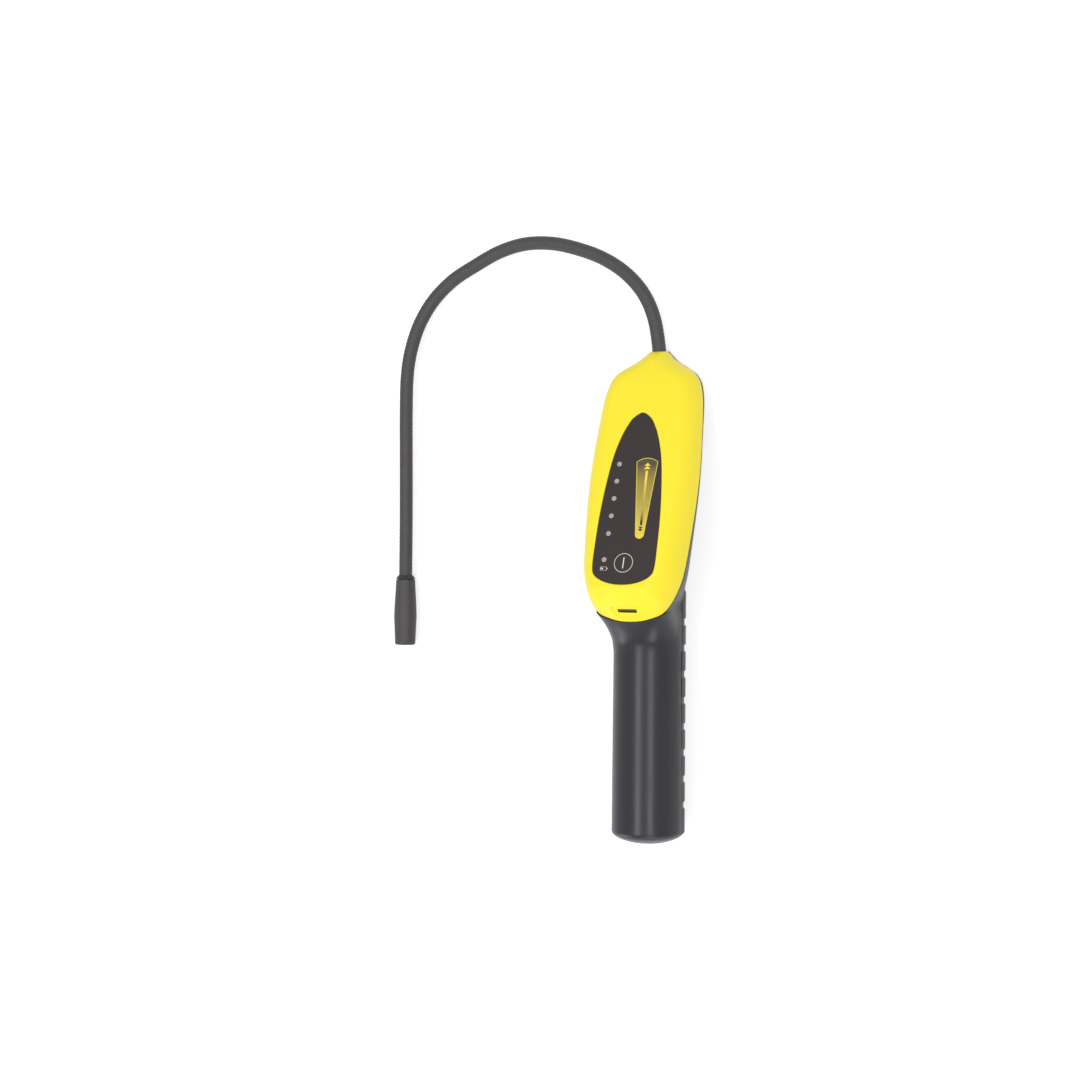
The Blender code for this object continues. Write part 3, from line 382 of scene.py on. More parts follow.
nodeLooks = {
    "housing": ["main_housing"], "cover": ["front_cover"], "film": ["front_overlay"],
    "door": ["battery_door", "power_button"], "hose": ["gooseneck_sleeve"], "tip": ["tip_cap"],
    "socket": ["sensor_socket"], "brass": ["gooseneck_ferrule"], "board": ["circuit_board"],
    "chip": ["main_chip", "sounder", "supply_coil", "power_switch"], "felt": ["inlet_filter"],
    "cell": ["battery_upper", "battery_lower", "supply_capacitor"],
    "lens": ["probe_header", "battery_led"] + ["gas_led_%d" % k for k in range(1, 6)],
    "steel": ["positive_contact", "negative_spring", "gooseneck_core", "gas_sensor", "cover_screw_left",
              "cover_screw_right", "board_screw_low_left", "board_screw_low_right", "board_screw_high_left",
              "board_screw_high_right"],
}
for look, names in nodeLooks.items():
    for name in names:
        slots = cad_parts[name].data.materials
        slots.clear()
        slots.append(looks[look])
print("finishes made")


# mesh helpers

def newPiece(name, shape, look, crease=35):
    bmesh.ops.recalc_face_normals(shape, faces=shape.faces)
    mesh = bpy.data.meshes.new(name)
    shape.to_mesh(mesh)
    shape.free()
    mesh.transform(Matrix.Scale(0.001, 4))
    mesh.shade_smooth()
    mesh.set_sharp_from_angle(angle=radians(crease))
    if look:
        mesh.materials.append(looks[look])
    piece = bpy.data.objects.new(name, mesh)
    bpy.context.scene.collection.objects.link(piece)
    return piece


def shapeAgain(piece):
    # a helper piece becomes a shape in millimetres again
    shape = bmesh.new()
    shape.from_mesh(piece.data)
    bmesh.ops.transform(shape, matrix=Matrix.Scale(1000, 4), verts=shape.verts)
    bpy.data.objects.remove(piece)
    return shape


def carve(piece, shape, kind="DIFFERENCE"):
    # cuts a shape out of a piece, or joins it on
    tool = newPiece("tool", shape, None)
    step = piece.modifiers.new("carve", "BOOLEAN")
    step.operation = kind
    step.solver = "EXACT"
    step.object = tool
    bake(piece)
    bpy.data.objects.remove(tool)


def bake(piece):
    graph = bpy.context.evaluated_depsgraph_get()
    mesh = bpy.data.meshes.new_from_object(piece.evaluated_get(graph))
    piece.modifiers.clear()
    piece.data = mesh


def evenShading(piece, crease=35):
    # sharp edges by angle, and large faces lead the normals
    piece.data.shade_smooth()
    piece.data.set_sharp_from_angle(angle=radians(crease))
    step = piece.modifiers.new("even", "WEIGHTED_NORMAL")
    step.keep_sharp = True
    step.weight = 80
    bake(piece)


def standsFor(piece, body, slot, *nodes):
    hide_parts(*nodes)
    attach(piece, body)


def limited(value):
    return min(1.0, max(0.0, value))


def eased(share):
    return share * share * (3 - 2 * share)


def between(low, high, share):
    return low + (high - low) * share


def spread(low, high, count):
    return [low + (high - low) * k / (count - 1) for k in range(count)]


def turnsOf(count):
    return [2 * pi * k / count for k in range(count)]


def smoothPath(points, steps):
    points = [Vector(point) for point in points]
    path = []
    for i in range(len(points) - 1):
        before = points[i - 1] if i else 2 * points[0] - points[1]
        after = points[i + 2] if i + 2 < len(points) else 2 * points[-1] - points[-2]
        start, end = points[i], points[i + 1]
        for k in range(steps):
            t = k / steps
            bend = (2 * before - 5 * start + 4 * end - after) * t * t
            twist = (3 * start - before - 3 * end + after) * t * t * t
            path.append(0.5 * (2 * start + (end - before) * t + bend + twist))
    path.append(points[-1])
    return path


def halfOutline(look, low, high, steps):
    # one side of the cover or the film; both its ends meet the middle squarely
    corners = [(x * look["halfWidth"], low + rise * (high - low)) for x, rise in look["outline"]]
    ends = [(-corners[1][0], corners[1][1]), (-corners[-2][0], corners[-2][1])]
    return smoothPath(ends[:1] + corners + ends[1:], steps)[steps:-steps]


def runAt(side, i):
    # the direction of a half outline at a point, with its mirror image beyond the ends
    before = side[i - 1] if i else Vector((-side[1].x, side[1].y))
    after = side[i + 1] if i + 1 < len(side) else Vector((-side[-2].x, side[-2].y))
    return (after - before).normalized()


def bothSides(half):
    # closes a half ring whose two ends lie in the middle with its mirror image
    return half + [Vector((-p.x, *p[1:])) for p in reversed(half[1:-1])]


def softCorners(points, radius, steps=5):
    # rounds off the corners of an outline, but not those on the axis of a turned one
    made = []
    for i, spot in enumerate(points):
        here = Vector(spot)
        if abs(here.x) < 1e-6:
            made.append(tuple(here))
            continue
        back, ahead = Vector(points[i - 1]) - here, Vector(points[(i + 1) % len(points)]) - here
        reach = min(radius, 0.45 * back.length, 0.45 * ahead.length)
        start, end = here + back.normalized() * reach, here + ahead.normalized() * reach
        for k in range(steps + 1):
            t = k / steps
            made.append(tuple(start * (1 - t) ** 2 + here * 2 * t * (1 - t) + end * t * t))
    return made


def skin(shape, rings):
    loops = [[shape.verts.new(point) for point in ring] for ring in rings]
    for near, far in zip(loops, loops[1:]):
        for i in range(len(near)):
            j = (i + 1) % len(near)
            shape.faces.new((near[i], near[j], far[j], far[i]))
    return loops


def solid(rings, shape=None):
    # rings of equally many points, closed by a face at either end
    shape = shape or bmesh.new()
    loops = skin(shape, rings)
    shape.faces.new(list(reversed(loops[0])))
    shape.faces.new(loops[-1])
    return shape


def revolve(profile, sides, place=Matrix(), shape=None):
    # a closed profile of radius and height, turned round the local Z axis
    shape = shape or bmesh.new()
    rings = []
    for radius, height in profile:
        if radius < 1e-6:
            spots = [(0, 0, height)]
        else:
            spots = [(radius * cos(a), radius * sin(a), height) for a in turnsOf(sides)]
        rings.append([shape.verts.new(place @ Vector(spot)) for spot in spots])
    for near, far in zip(rings, rings[1:] + rings[:1]):
        if len(near) == 1 and len(far) == 1:
            continue
        for i in range(sides):
            j = (i + 1) % sides
            corners = [near[i % len(near)], near[j % len(near)], far[j % len(far)], far[i % len(far)]]
            shape.faces.new(list(dict.fromkeys(corners)))
    return shape


def rod(radius, low, high, sides, place=Matrix(), shape=None):
    return revolve([(0, low), (radius, low), (radius, high), (0, high)], sides, place, shape)


def plate(outline, low, high, place=Matrix(), shape=None):
    return solid([[place @ Vector((x, y, level)) for x, y in outline] for level in (low, high)], shape)


def across(outline, low, high, shape=None):
    # an outline of Y and Z, pushed along X
    return solid([[Vector((level, y, z)) for y, z in outline] for level in (low, high)], shape)


def pair(outline, low, high):
    # the same on both sides of the middle
    shape = across(outline, low, high)
    return across(outline, -high, -low, shape)


def brick(low, high, place=Matrix(), shape=None):
    outline = [(low[0], low[1]), (high[0], low[1]), (high[0], high[1]), (low[0], high[1])]
    return plate(outline, low[2], high[2], place, shape)


# gooseneck: a faintly ribbed sleeve, in two lengths
hose = {
    "radius": 4.12, "ribDepth": 0.10, "pitch": 2.35, "sides": 32, "splitX": -88.0,
    "ribShape": [(0.0, 1.0), (0.12, 0.75), (0.25, 0.25), (0.4, 0.0), (0.62, 0.0), (0.78, 0.25), (0.9, 0.75)],
    "points": [
        (0.0, 203.0), (0.0, 213.7), (-3.3, 232.5), (-10.2, 247.5), (-21.5, 260.0), (-36.0, 269.5),
        (-52.5, 276.0), (-70.0, 280.2), (-88.0, 280.6), (-105.0, 276.5), (-121.0, 269.0), (-136.3, 260.5),
        (-149.3, 249.0), (-158.8, 235.0), (-164.7, 219.5), (-167.6, 203.0), (-168.2, 180.0), (-168.0, 150.0),
        (-167.8, 115.0), (-167.9, 78.62)],
}
hoseRoute = smoothPath([(x, y, hoseAxis) for x, y in hose["points"]], 12)


def hoseStations(route):
    # points at the rib spacing, with their direction and radius
    lengths = [0.0]
    for a, b in zip(route, route[1:]):
        lengths.append(lengths[-1] + (b - a).length)
    stations = []
    k = 0
    for rib in range(int(lengths[-1] / hose["pitch"]) + 1):
        for share, dip in hose["ribShape"]:
            at = (rib + share) * hose["pitch"]
            if at > lengths[-1]:
                break
            while k < len(lengths) - 2 and lengths[k + 1] < at:
                k += 1
            t = (at - lengths[k]) / (lengths[k + 1] - lengths[k])
            ahead = (route[k + 1] - route[max(k - 1, 0)]).normalized()
            stations.append((route[k].lerp(route[k + 1], t), ahead, hose["radius"] - hose["ribDepth"] * dip))
    stations.append((route[-1], (route[-1] - route[-2]).normalized(), hose["radius"]))
    return stations


def hoseLength(name, stations):
    up = Vector((0, 0, 1))
    rings = []
    for spot, ahead, radius in stations:
        out = Vector((ahead.y, -ahead.x, 0)).normalized()
        rings.append([spot + radius * (out * cos(a) + up * sin(a)) for a in turnsOf(hose["sides"])])
    return newPiece(name, solid(rings), "hose", 50)


stations = hoseStations(hoseRoute)
split = next(i for i, station in enumerate(stations) if station[0].x < hose["splitX"])
hoseNear = hoseLength("hose_near", stations[:split + 1])
hoseFar = hoseLength("hose_far", stations[split:])
for piece in (hoseNear, hoseFar):
    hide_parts("gooseneck_sleeve", "gooseneck_core")
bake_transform(hoseNear)
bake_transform(hoseFar)
print("gooseneck made")


# the head: a sloping parting line, the cover over it and the housing under it
head = {
    "noseH": 135.6, "chinH": -29.7, "halfWidth": 33.39, "noseDepth": 14.4, "partingTilt": radians(16.3),
    "roll": 11.0, "power": 1.8, "chinRoll": 14.6, "chinPower": 1.14, "chinBlend": 11.0,  # the rolled edge
    "wall": 2.2, "deck": 0.02, "deckInside": 2.8, "noseFallRun": 35.6, "noseFall": 4.2, "noseLip": 0.73,
    "rimLift": 0.45, "rimTuck": 0.75,
    "outline": [
        (0.0, 1.0), (0.132, 0.9982), (0.2036, 0.9885), (0.3353, 0.9618), (0.533, 0.9364), (0.7305, 0.9085),
        (0.859, 0.860), (0.937, 0.760), (1.0, 0.5115), (0.946, 0.263), (0.862, 0.1327), (0.647, 0.0412),
        (0.329, 0.0085), (0.0, 0.0)],
    "softNose": [(112, 3), (117, 5), (121, 8)],  # from this height up, this many smoothing passes
}
partingPoint = panelFrame @ Vector((0, head["noseH"], -head["noseDepth"]))
partingRise = tan(panel["tilt"] - head["partingTilt"])


def headOutline(steps):
    return halfOutline(head, head["chinH"], head["noseH"], steps)


fineOutline = headOutline(24)


def widthAt(h):
    for upper, lower in zip(fineOutline, fineOutline[1:]):
        if lower.y <= h <= upper.y:
            return upper.x + (lower.x - upper.x) * (upper.y - h) / (upper.y - lower.y)
    return 0.0


def partingDepth(h):
    return head["noseDepth"] + (head["noseH"] - h) * partingRise


def partingHeight(y):
    return partingPoint.z - (y - partingPoint.y) * tan(head["partingTilt"])


def panelHeightOf(y):
    # height along the panel of the parting plane's point at this Y
    reach = y - panel["origin"].y + sin(panel["tilt"]) * (head["noseDepth"] + head["noseH"] * partingRise)
    return reach / (cos(panel["tilt"]) + partingRise * sin(panel["tilt"]))


def edgeAt(h, turn, wall):
    # the rounded edge rolls over at the sides and slopes away at the chin
    share = eased(limited((head["chinH"] + head["chinBlend"] - h) / head["chinBlend"]))
    roll = between(head["roll"], head["chinRoll"], share) - 0.5 * wall
    power = between(head["power"], head["chinPower"], share)
    angle = pi / 2 * turn
    return roll * (1 - max(cos(angle), 0.0) ** (2 / power)), 1 - sin(angle) ** (2 / power)


def coverRing(wall, turn, drop, tuck=0.0, lift=0.0):
    side = headOutline(8)
    ring = []
    for i, point in enumerate(side):
        reach, level = edgeAt(point.y, turn, wall)
        inset = wall + reach + tuck
        run = runAt(side, i)
        x = max(point.x + run.y * inset, 0.15 * point.x) if 0 < i < len(side) - 1 else 0.0
        h = point.y - run.x * inset
        h = min(h, ring[-1].y - 0.02) if ring else h
        fall = max(0.0, (h - head["noseH"] + head["noseFallRun"]) / head["noseFallRun"])
        top = drop + head["noseFall"] * fall ** 2
        ring.append(Vector((x, h, lift - (top + (partingDepth(h) - top) * level))))
    return bothSides(ring)


def softenNose(shape, loops):
    # the edge is wider than the nose, so its folds there are smoothed away
    toPanel = panelFrame.inverted()
    for low, passes in head["softNose"]:
        near = [vert for loop in loops[4:] for vert in loop if (toPanel @ vert.co).y > low]
        for _ in range(passes):
            bmesh.ops.smooth_vert(
                shape, verts=near, factor=0.5, use_axis_x=True, use_axis_y=True, use_axis_z=True)


def coverShell():
    shape = bmesh.new()
    feet = []
    for wall, drop, turns in ((0.0, head["deck"], 18), (head["wall"], head["deckInside"], 5)):
        rings = [coverRing(wall, k / (turns - 1), drop) for k in range(turns)]
        if not wall:
            rings[0] = coverRing(0.0, 0.0, drop, lift=head["rimLift"])
            rings.insert(0, coverRing(0.0, 0.0, drop, tuck=head["rimTuck"]))
        loops = skin(shape, [[panelFrame @ point for point in ring] for ring in rings])
        deck = loops[-1]
        count = len(deck)
        for i in range(count // 2):
            corners = [deck[i], deck[i + 1], deck[count - i - 1], deck[(count - i) % count]]
            shape.faces.new(list(dict.fromkeys(corners)))
        if not wall:
            softenNose(shape, loops)
        feet.append(loops[0])
    outer, inner = feet
    for i in range(len(outer)):
        j = (i + 1) % len(outer)
        shape.faces.new((outer[i], outer[j], inner[j], inner[i]))
    return newPiece("cover_shell", shape, "cover")


# the bore for the ferrule's collar, through the nose; lengths are from its mouth
bore = {"radius": 4.45, "grooveRadius": 5.3, "groove": (-7.3, -3.7), "reach": (-19, 8)}


def noseBore():
    mouth = partingPoint.y + head["noseLip"]
    back, low, high, front = (mouth + run for run in (bore["reach"][0], *bore["groove"], bore["reach"][1]))
    narrow, wide = bore["radius"], bore["grooveRadius"]
    profile = [(0, back), (narrow, back), (narrow, low), (wide, low), (wide, high), (narrow, high),
               (narrow, front), (0, front)]
    return revolve(profile, 48, moved((0, 0, hoseAxis)) @ alongY)


chinSlot = {
    "share": 0.345, "halfWidth": 5.9, "halfHeight": 1.4, "corner": 0.35, "depth": 3.2,
    "dishTop": 10.8, "dishLow": 7.6, "dishUp": 4.2, "dishDown": 3.8, "dishDepth": 1.7, "dishDraft": 1.0,
    "dishCorner": 2.2, "catchGap": 0.3, "catchFoot": -4.4, "catchTop": -2.1,
}


def chinSpot(turn):
    reach, level = edgeAt(head["chinH"], turn, 0.0)
    h = head["chinH"] + reach
    return Vector((0, h, -partingDepth(h) * level))


chinRise = chinSpot(chinSlot["share"] + 0.05) - chinSpot(chinSlot["share"] - 0.05)
chinFrame = panelFrame @ moved(chinSpot(chinSlot["share"]))
chinFrame = chinFrame @ turned(atan2(chinRise.z, chinRise.y), "X")


def rectangle(halfX, halfY):
    return [(halfX, halfY), (-halfX, halfY), (-halfX, -halfY), (halfX, -halfY)]


def chinDish():
    # a shallow dish, wide at the top and narrow at the foot
    rings = []
    draft, depth = chinSlot["dishDraft"], chinSlot["dishDepth"]
    for inset, level in ((-draft, depth), (draft * 0.75, -depth * 0.85), (draft, -depth)):
        wide, narrow = chinSlot["dishTop"] - inset, chinSlot["dishLow"] - inset
        top, foot = chinSlot["dishUp"] - inset, inset - chinSlot["dishDown"]
        corners = [(wide, top), (-wide, top), (-narrow, foot), (narrow, foot)]
        corners = softCorners(corners, chinSlot["dishCorner"])
        rings.append([chinFrame @ Vector((x, y, level)) for x, y in corners])
    return solid(rings)


def slotCut():
    corners = softCorners(rectangle(chinSlot["halfWidth"], chinSlot["halfHeight"]), chinSlot["corner"], 3)
    return plate(corners, -chinSlot["depth"], clear, chinFrame)


# overlay: a thin film in the cover's recess, which rises a little over the button
film = {
    "top": -0.05, "thick": 0.45, "edge": 0.12, "domeHeight": 0.09, "domeRadius": 4.2, "domeFoot": 6.6,
    "buttonAt": Vector((0.0, -0.4)), "halfWidth": 19.05, "lowH": -13.4, "highH": 91.2, "centreH": 35.0,
    "gap": 0.25, "recess": 0.8, "lampHole": 1.75, "buttonHole": 5.5, "holeDepth": 3.8,
    "outline": [
        (0.0, 1.0), (0.1995, 0.9818), (0.3727, 0.9465), (0.588, 0.8604), (0.777, 0.7304), (0.903, 0.5583),
        (0.976, 0.3862), (1.0, 0.2141), (0.992, 0.0994), (0.903, 0.0526), (0.640, 0.0210), (0.3255, 0.0048),
        (0.0, 0.0)],
    "domeRings": (2.2, 3.4, 4.2, 4.8, 5.4, 6.0, 6.6, 7.6),
}


def filmOutline(grow):
    side = halfOutline(film, film["lowH"], film["highH"], 6)
    loop = []
    for i, point in enumerate(side):
        run = runAt(side, i)
        x = point.x - run.y * grow if 0 < i < len(side) - 1 else 0.0
        loop.append(Vector((x, point.y + run.x * grow)))
    return bothSides(loop)


cover = coverShell()
carve(cover, plate(filmOutline(film["gap"]), -film["recess"], clear, panelFrame))
holes = bmesh.new()
for spot in filmLook["lamps"]:
    rod(film["lampHole"], -film["holeDepth"], clear, 24, panelFrame @ moved((*spot, 0)), holes)
buttonPlace = panelFrame @ moved((*film["buttonAt"], 0))
rod(film["buttonHole"], -film["holeDepth"], clear, 48, buttonPlace, holes)
for shape in (holes, noseBore(), chinDish(), slotCut()):
    carve(cover, shape)
evenShading(cover)
standsFor(cover, "housing", "cover_plastic", "front_cover")
print("cover made")


def domeAt(point):
    reach = (point - film["buttonAt"]).length
    share = limited((film["domeFoot"] - reach) / (film["domeFoot"] - film["domeRadius"]))
    return film["domeHeight"] * eased(share)


def overlayFilm():
    outline = filmOutline(0.0)
    count = len(outline)
    centre = Vector((0.0, film["centreH"]))
    points = [p + (centre - p).normalized() * film["edge"] for p in outline]
    for radius in film["domeRings"]:
        points += [film["buttonAt"] + Vector((cos(a), sin(a))) * radius for a in turnsOf(40)]
    edges = [(i, (i + 1) % count) for i in range(count)]
    flat, _, faces, *_ = delaunay_2d_cdt(points, edges, [], 1, 1e-5)
    shape = bmesh.new()

    def layer(spots, drop):
        places = [panelFrame @ Vector((p.x, p.y, film["top"] + domeAt(p) - drop)) for p in spots]
        return [shape.verts.new(place) for place in places]

    top, low, rim = layer(flat, 0.0), layer(flat, film["thick"]), layer(outline, film["edge"])
    for face in faces:
        shape.faces.new([top[i] for i in face])
        shape.faces.new([low[i] for i in reversed(face)])
    for i in range(count):
        j = (i + 1) % count
        shape.faces.new((top[i], rim[i], rim[j], top[j]))
        shape.faces.new((rim[i], low[i], low[j], rim[j]))
    return newPiece("overlay_film", shape, "film")


overlay = overlayFilm()
evenShading(overlay)
standsFor(overlay, "housing", "overlay_film", "front_overlay")
print("overlay made")


# housing: grip, flare and tub run into each other with soft fillets
grip = {
    "radius": 20.6, "swell": 0.6, "taper": 0.1253, "lowY": -70.4, "capY": -69.0, "endY": -76.2, "gone": 120,
    "bay": 18.4, "bayRib": 17.5, "ribHalf": 1.1, "core": 18.1, "bayTop": 62.2, "doorTop": 72.9, "relief": 1.7,
    "flareFrom": 35.0, "flareTo": 59.0, "flareRise": 14.2, "flareSpread": 6.7, "flareSquare": 1.9,
    "flareEase": 1.8, "flareFade": 66, "flareGone": 100.0, "buried": 0.4, "fillet": 5.0, "flareFillet": 1.6,
    "capCurve": [(0.22, 0.03), (0.42, 0.09), (0.585, 0.20), (0.76, 0.375), (0.875, 0.54), (0.943, 0.70),
                 (0.986, 0.86), (1.0, 1.0)],
    "angles": 72, "doorGap": 0.5,
    "earHeight": 2.7, "earSeat": 0.15, "earReach": (18.5, 20.6), "notchGap": 0.3, "notchReach": (17.6, 28.6),
    "seam": [(70.5, 0.2), (71.2, -0.2), (83.0, 3.4), (82.6, 4.0)],  # Y, and height over the axis
    "lugSlot": ((-6.3, -72.9, 1.3), (6.3, -69.4, 3.9)), "lug": ((-6.0, -72.3, 1.6), (6.0, -69.1, 2.8)),
}
tub = {"keel": 8.0, "power": 1.47, "nosePower": 3.7, "noseBlend": 63.0, "wall": 2.4, "ends": (5.5, 11.0)}
screw = {"x": 17.5, "h": head["noseH"] - 29.6, "boss": 4.9, "bore": 3.1, "hole": 1.8, "seat": 4.2,
         "below": 30, "profile": [(0, -1.9), (2.2, -1.9), (2.6, -1.6), (2.8, -1.1), (2.8, 0), (1.5, 0),
                                  (1.5, 8.2), (0.6, 9.0), (0, 9.0)]}


def circleSide(radius):
    turns = [radians(-90 + 3 * k) for k in range(61)]
    return [(max(radius * cos(a), 0.0), gripAxis + radius * sin(a)) for a in turns]


def flareSide(y):
    share = limited((y - grip["flareFrom"]) / (grip["flareTo"] - grip["flareFrom"])) ** grip["flareEase"]
    if y >= grip["flareFade"]:
        share *= max(0.0, (grip["flareGone"] - y) / (grip["flareGone"] - grip["flareFade"]))
    power = 2 + grip["flareSquare"] * share
    base = gripRadius(y)
    start = base - grip["buried"] * (1 - share)
    side = []
    for k in range(91):
        angle = radians(-90 + 2 * k)
        c, s = max(cos(angle), 0.0), sin(angle)
        if s <= 1e-9:
            low = base - grip["buried"]
            side.append((low * c, gripAxis + low * s))
            continue
        width, rise = start + grip["flareSpread"] * share * s, start + grip["flareRise"] * share
        side.append((width * c ** (2 / power), gripAxis + rise * s ** (2 / power)))
    return side


def tubSide(y, inset=0.0, floor=0.0, over=6.0, steps=48):
    height = partingHeight(y)
    nearness = max(0.0, 1 - (partingPoint.y - y) / tub["noseBlend"])
    power = between(tub["power"], tub["nosePower"], nearness ** 2)
    width = widthAt(panelHeightOf(y))
    keel = max(min(tub["keel"], 0.42 * width) - 0.6 * inset, 0.4)
    width -= inset
    side = [(0.0, floor)]
    for k in range(steps, -1, -1):
        angle = pi / 2 * k / steps
        x = keel + (width - keel) * max(cos(angle), 0.0) ** (2 / power)
        side.append((x, height - (height - floor) * sin(angle) ** (2 / power)))
    return side + [(width, height + over), (0.0, height + over)]


def gripRadius(y):
    if y < grip["flareFrom"]:
        return grip["radius"] + grip["swell"] * (grip["flareFrom"] - y) / (grip["flareFrom"] - grip["lowY"])
    return grip["radius"] - max(0.0, y - grip["flareTo"]) * grip["taper"]


def reachOf(side, centre, angles):
    # how far a half section reaches from (0, centre), at each angle
    turns = [atan2(z - centre, x) for x, z in side]
    found, i = [], 0
    for angle in angles:
        while i < len(side) - 2 and turns[i + 1] < angle:
            i += 1
        (ax, az), (bx, bz) = side[i], side[i + 1]
        az, bz = az - centre, bz - centre
        found.append((ax * (bz - az) - az * (bx - ax)) / (cos(angle) * (bz - az) - sin(angle) * (bx - ax)))
    return found


def fuse(some, others, soft):
    # the larger of each two, with a fillet where they cross
    made = []
    for a, b in zip(some, others):
        blend = max(soft - abs(a - b), 0.0) / soft
        made.append(max(a, b) + blend * blend * soft / 4)
    return made


def housingRing(y):
    steps = grip["angles"]
    angles = [radians(-90 + 180 * k / steps) for k in range(steps + 1)]
    centre = min(gripAxis, 0.45 * partingHeight(y)) if y > grip["flareTo"] else gripAxis
    reach = reachOf(circleSide(gripRadius(y)), centre, angles) if y < grip["gone"] else None
    if grip["flareFrom"] < y < grip["flareGone"]:
        soft = min(grip["flareFillet"], grip["buried"] + 0.3 * (y - grip["flareFrom"]))
        reach = fuse(reach, reachOf(flareSide(y), centre, angles), soft)
    if y >= grip["flareTo"]:
        boat = reachOf(tubSide(y), centre, angles)
        soft = grip["fillet"] * min(1.0, 0.2 + (y - grip["flareTo"]) / 10)
        reach = fuse(reach, boat, soft) if reach else boat
    half = [Vector((r * cos(a), y, max(0.0, centre + r * sin(a)))) for r, a in zip(reach, angles)]
    half[0].x = half[-1].x = 0.0
    return bothSides(half)


def housingShape():
    low = grip["capY"]
    turns = [radians(-90 + 180 * k / grip["angles"]) for k in range(2 * grip["angles"])]
    rings = []
    for spot in smoothPath([(0.0, 0.0)] + grip["capCurve"], 4)[1:]:
        radius = gripRadius(low) * spot.x
        y = between(low, grip["endY"], 1 - spot.y)
        rings.append([Vector((radius * cos(a), y, max(0.0, gripAxis + radius * sin(a)))) for a in turns])
    nose = partingPoint.y
    levels = [-60, -40, -20, 0, 15, 30] + spread(35, 59, 25) + spread(60, 100, 41) + spread(103, 190, 30)
    levels += spread(191, nose - head["noseLip"], 24)
    rings += [housingRing(y) for y in levels]
    rings.append([Vector((p.x * 0.95, nose - 0.07, max(p.z * 0.98, 0.35))) for p in rings[-1]])
    return solid(rings)


def doorTopAt(height):
    return grip["doorTop"] + grip["doorGap"] - grip["relief"] * height / gripAxis


def earOutline(gap):
    top, base = grip["doorTop"], gripAxis - grip["earSeat"]
    low, high = top - 15.0 - gap, top - 2.0 + 2 * gap
    peak = (top - 11.2, base + grip["earHeight"] + gap)
    return [(low, base - 1.5), (high, base - 1.5), (high, base), peak, (low, base)]


def hollowHousing(housing):
    slope = moved(partingPoint) @ turned(-head["partingTilt"], "X")
    carve(housing, brick((-90, -400, -0.3), (90, 400, 200), slope))
    behind, ahead = tub["ends"]
    rings = []
    for y in spread(grip["doorTop"] + behind, partingPoint.y - ahead, 12):
        side = tubSide(y, tub["wall"], tub["wall"], 4.0, 16)[1:-1]
        rings.append([Vector((x, y, z)) for x, z in side + [(-x, z) for x, z in reversed(side)]])
    cavity = newPiece("cavity", solid(rings), None)
    depth = partingDepth(screw["h"])
    low, seat = -depth - screw["below"], -depth - screw["seat"]
    places = [panelFrame @ moved((side * screw["x"], screw["h"], 0)) for side in (-1, 1)]
    for place in places:
        carve(cavity, rod(screw["boss"], low, -depth - 0.3, 32, place))
    carve(housing, shapeAgain(cavity))
    wide, narrow = screw["bore"], screw["hole"]
    stepped = [(0, low), (wide, low), (wide, seat), (narrow, seat), (narrow, clear), (0, clear)]
    for place in places:
        carve(housing, revolve(stepped, 40, place))
    carve(housing, noseBore())


def hollowGrip(housing):
    # room for the door, then the cells' bay, the ears' notches, the seam lines and the lug's slot
    low, bay, top = grip["lowY"], grip["bay"], grip["bayTop"]
    seam = gripAxis + grip["earSeat"]
    outline = [(low, -40), (doorTopAt(-40), -40), (doorTopAt(seam), seam), (low, seam)]
    space = newPiece("space", across(outline, -40, 40), None)
    carve(space, rod(grip["core"], top, grip["doorTop"] + 20, 96, gripFrame))
    carve(housing, shapeAgain(space))
    profile = [(0, low), (bay, low)]
    step = (top - low) / 3
    for k in range(3):
        middle = low + step * (k + 0.5)
        near, far = middle - grip["ribHalf"], middle + grip["ribHalf"]
        profile += [(bay, near), (grip["bayRib"], near), (grip["bayRib"], far), (bay, far)]
    carve(housing, revolve(profile + [(bay, top), (0, top)], 96, gripFrame))
    carve(housing, pair(earOutline(grip["notchGap"]), *grip["notchReach"]))
    carve(housing, pair([(y, gripAxis + rise) for y, rise in grip["seam"]], 15.0, 40.0))
    carve(housing, brick(*grip["lugSlot"]))


housing = newPiece("housing_shell", housingShape(), "housing")
hollowHousing(housing)
hollowGrip(housing)
evenShading(housing, 32)
standsFor(housing, "housing", "housing_plastic", "main_housing")


def snapCatch():
    # the head of the housing's snap arm, seen in the slot
    half, tall = chinSlot["halfWidth"] - chinSlot["catchGap"], chinSlot["halfHeight"] - chinSlot["catchGap"]
    foot, top = chinSlot["catchFoot"], chinSlot["catchTop"]
    arm = [(-tall, foot), (-tall, top - 0.5), (0.5 - tall, top)]
    arm += [(tall - 0.2, top), (tall, top - 0.2), (tall, foot)]
    rings = [[chinFrame @ Vector((level, y, z)) for y, z in arm] for level in (-half, half)]
    return newPiece("snap_catch", solid(rings), "door", 30)


standsFor(snapCatch(), "housing", "housing_plastic", "main_housing")
print("housing made")


# battery door: nine raised pads, a tongue and two squeeze ears
door = {
    "radius": 20.9, "rise": 0.8, "pitch": 15.3, "groove": 3.6, "edge": 1.0, "fade": 8.0, "lowY": -70.1,
    "pads": range(-4, 5), "seamRise": 0.2, "seamDrop": 0.15,
    "angles": [0, 1.5, 3, 4.5, 6, 8] + [8 + 164 * k / 54 for k in range(1, 54)]
              + [172, 174, 175.5, 177, 178.5, 180],
    "edgeShape": [(0.0, 0.0), (0.12, 0.42), (0.32, 0.74), (0.62, 0.94), (1.0, 1.0)],
}


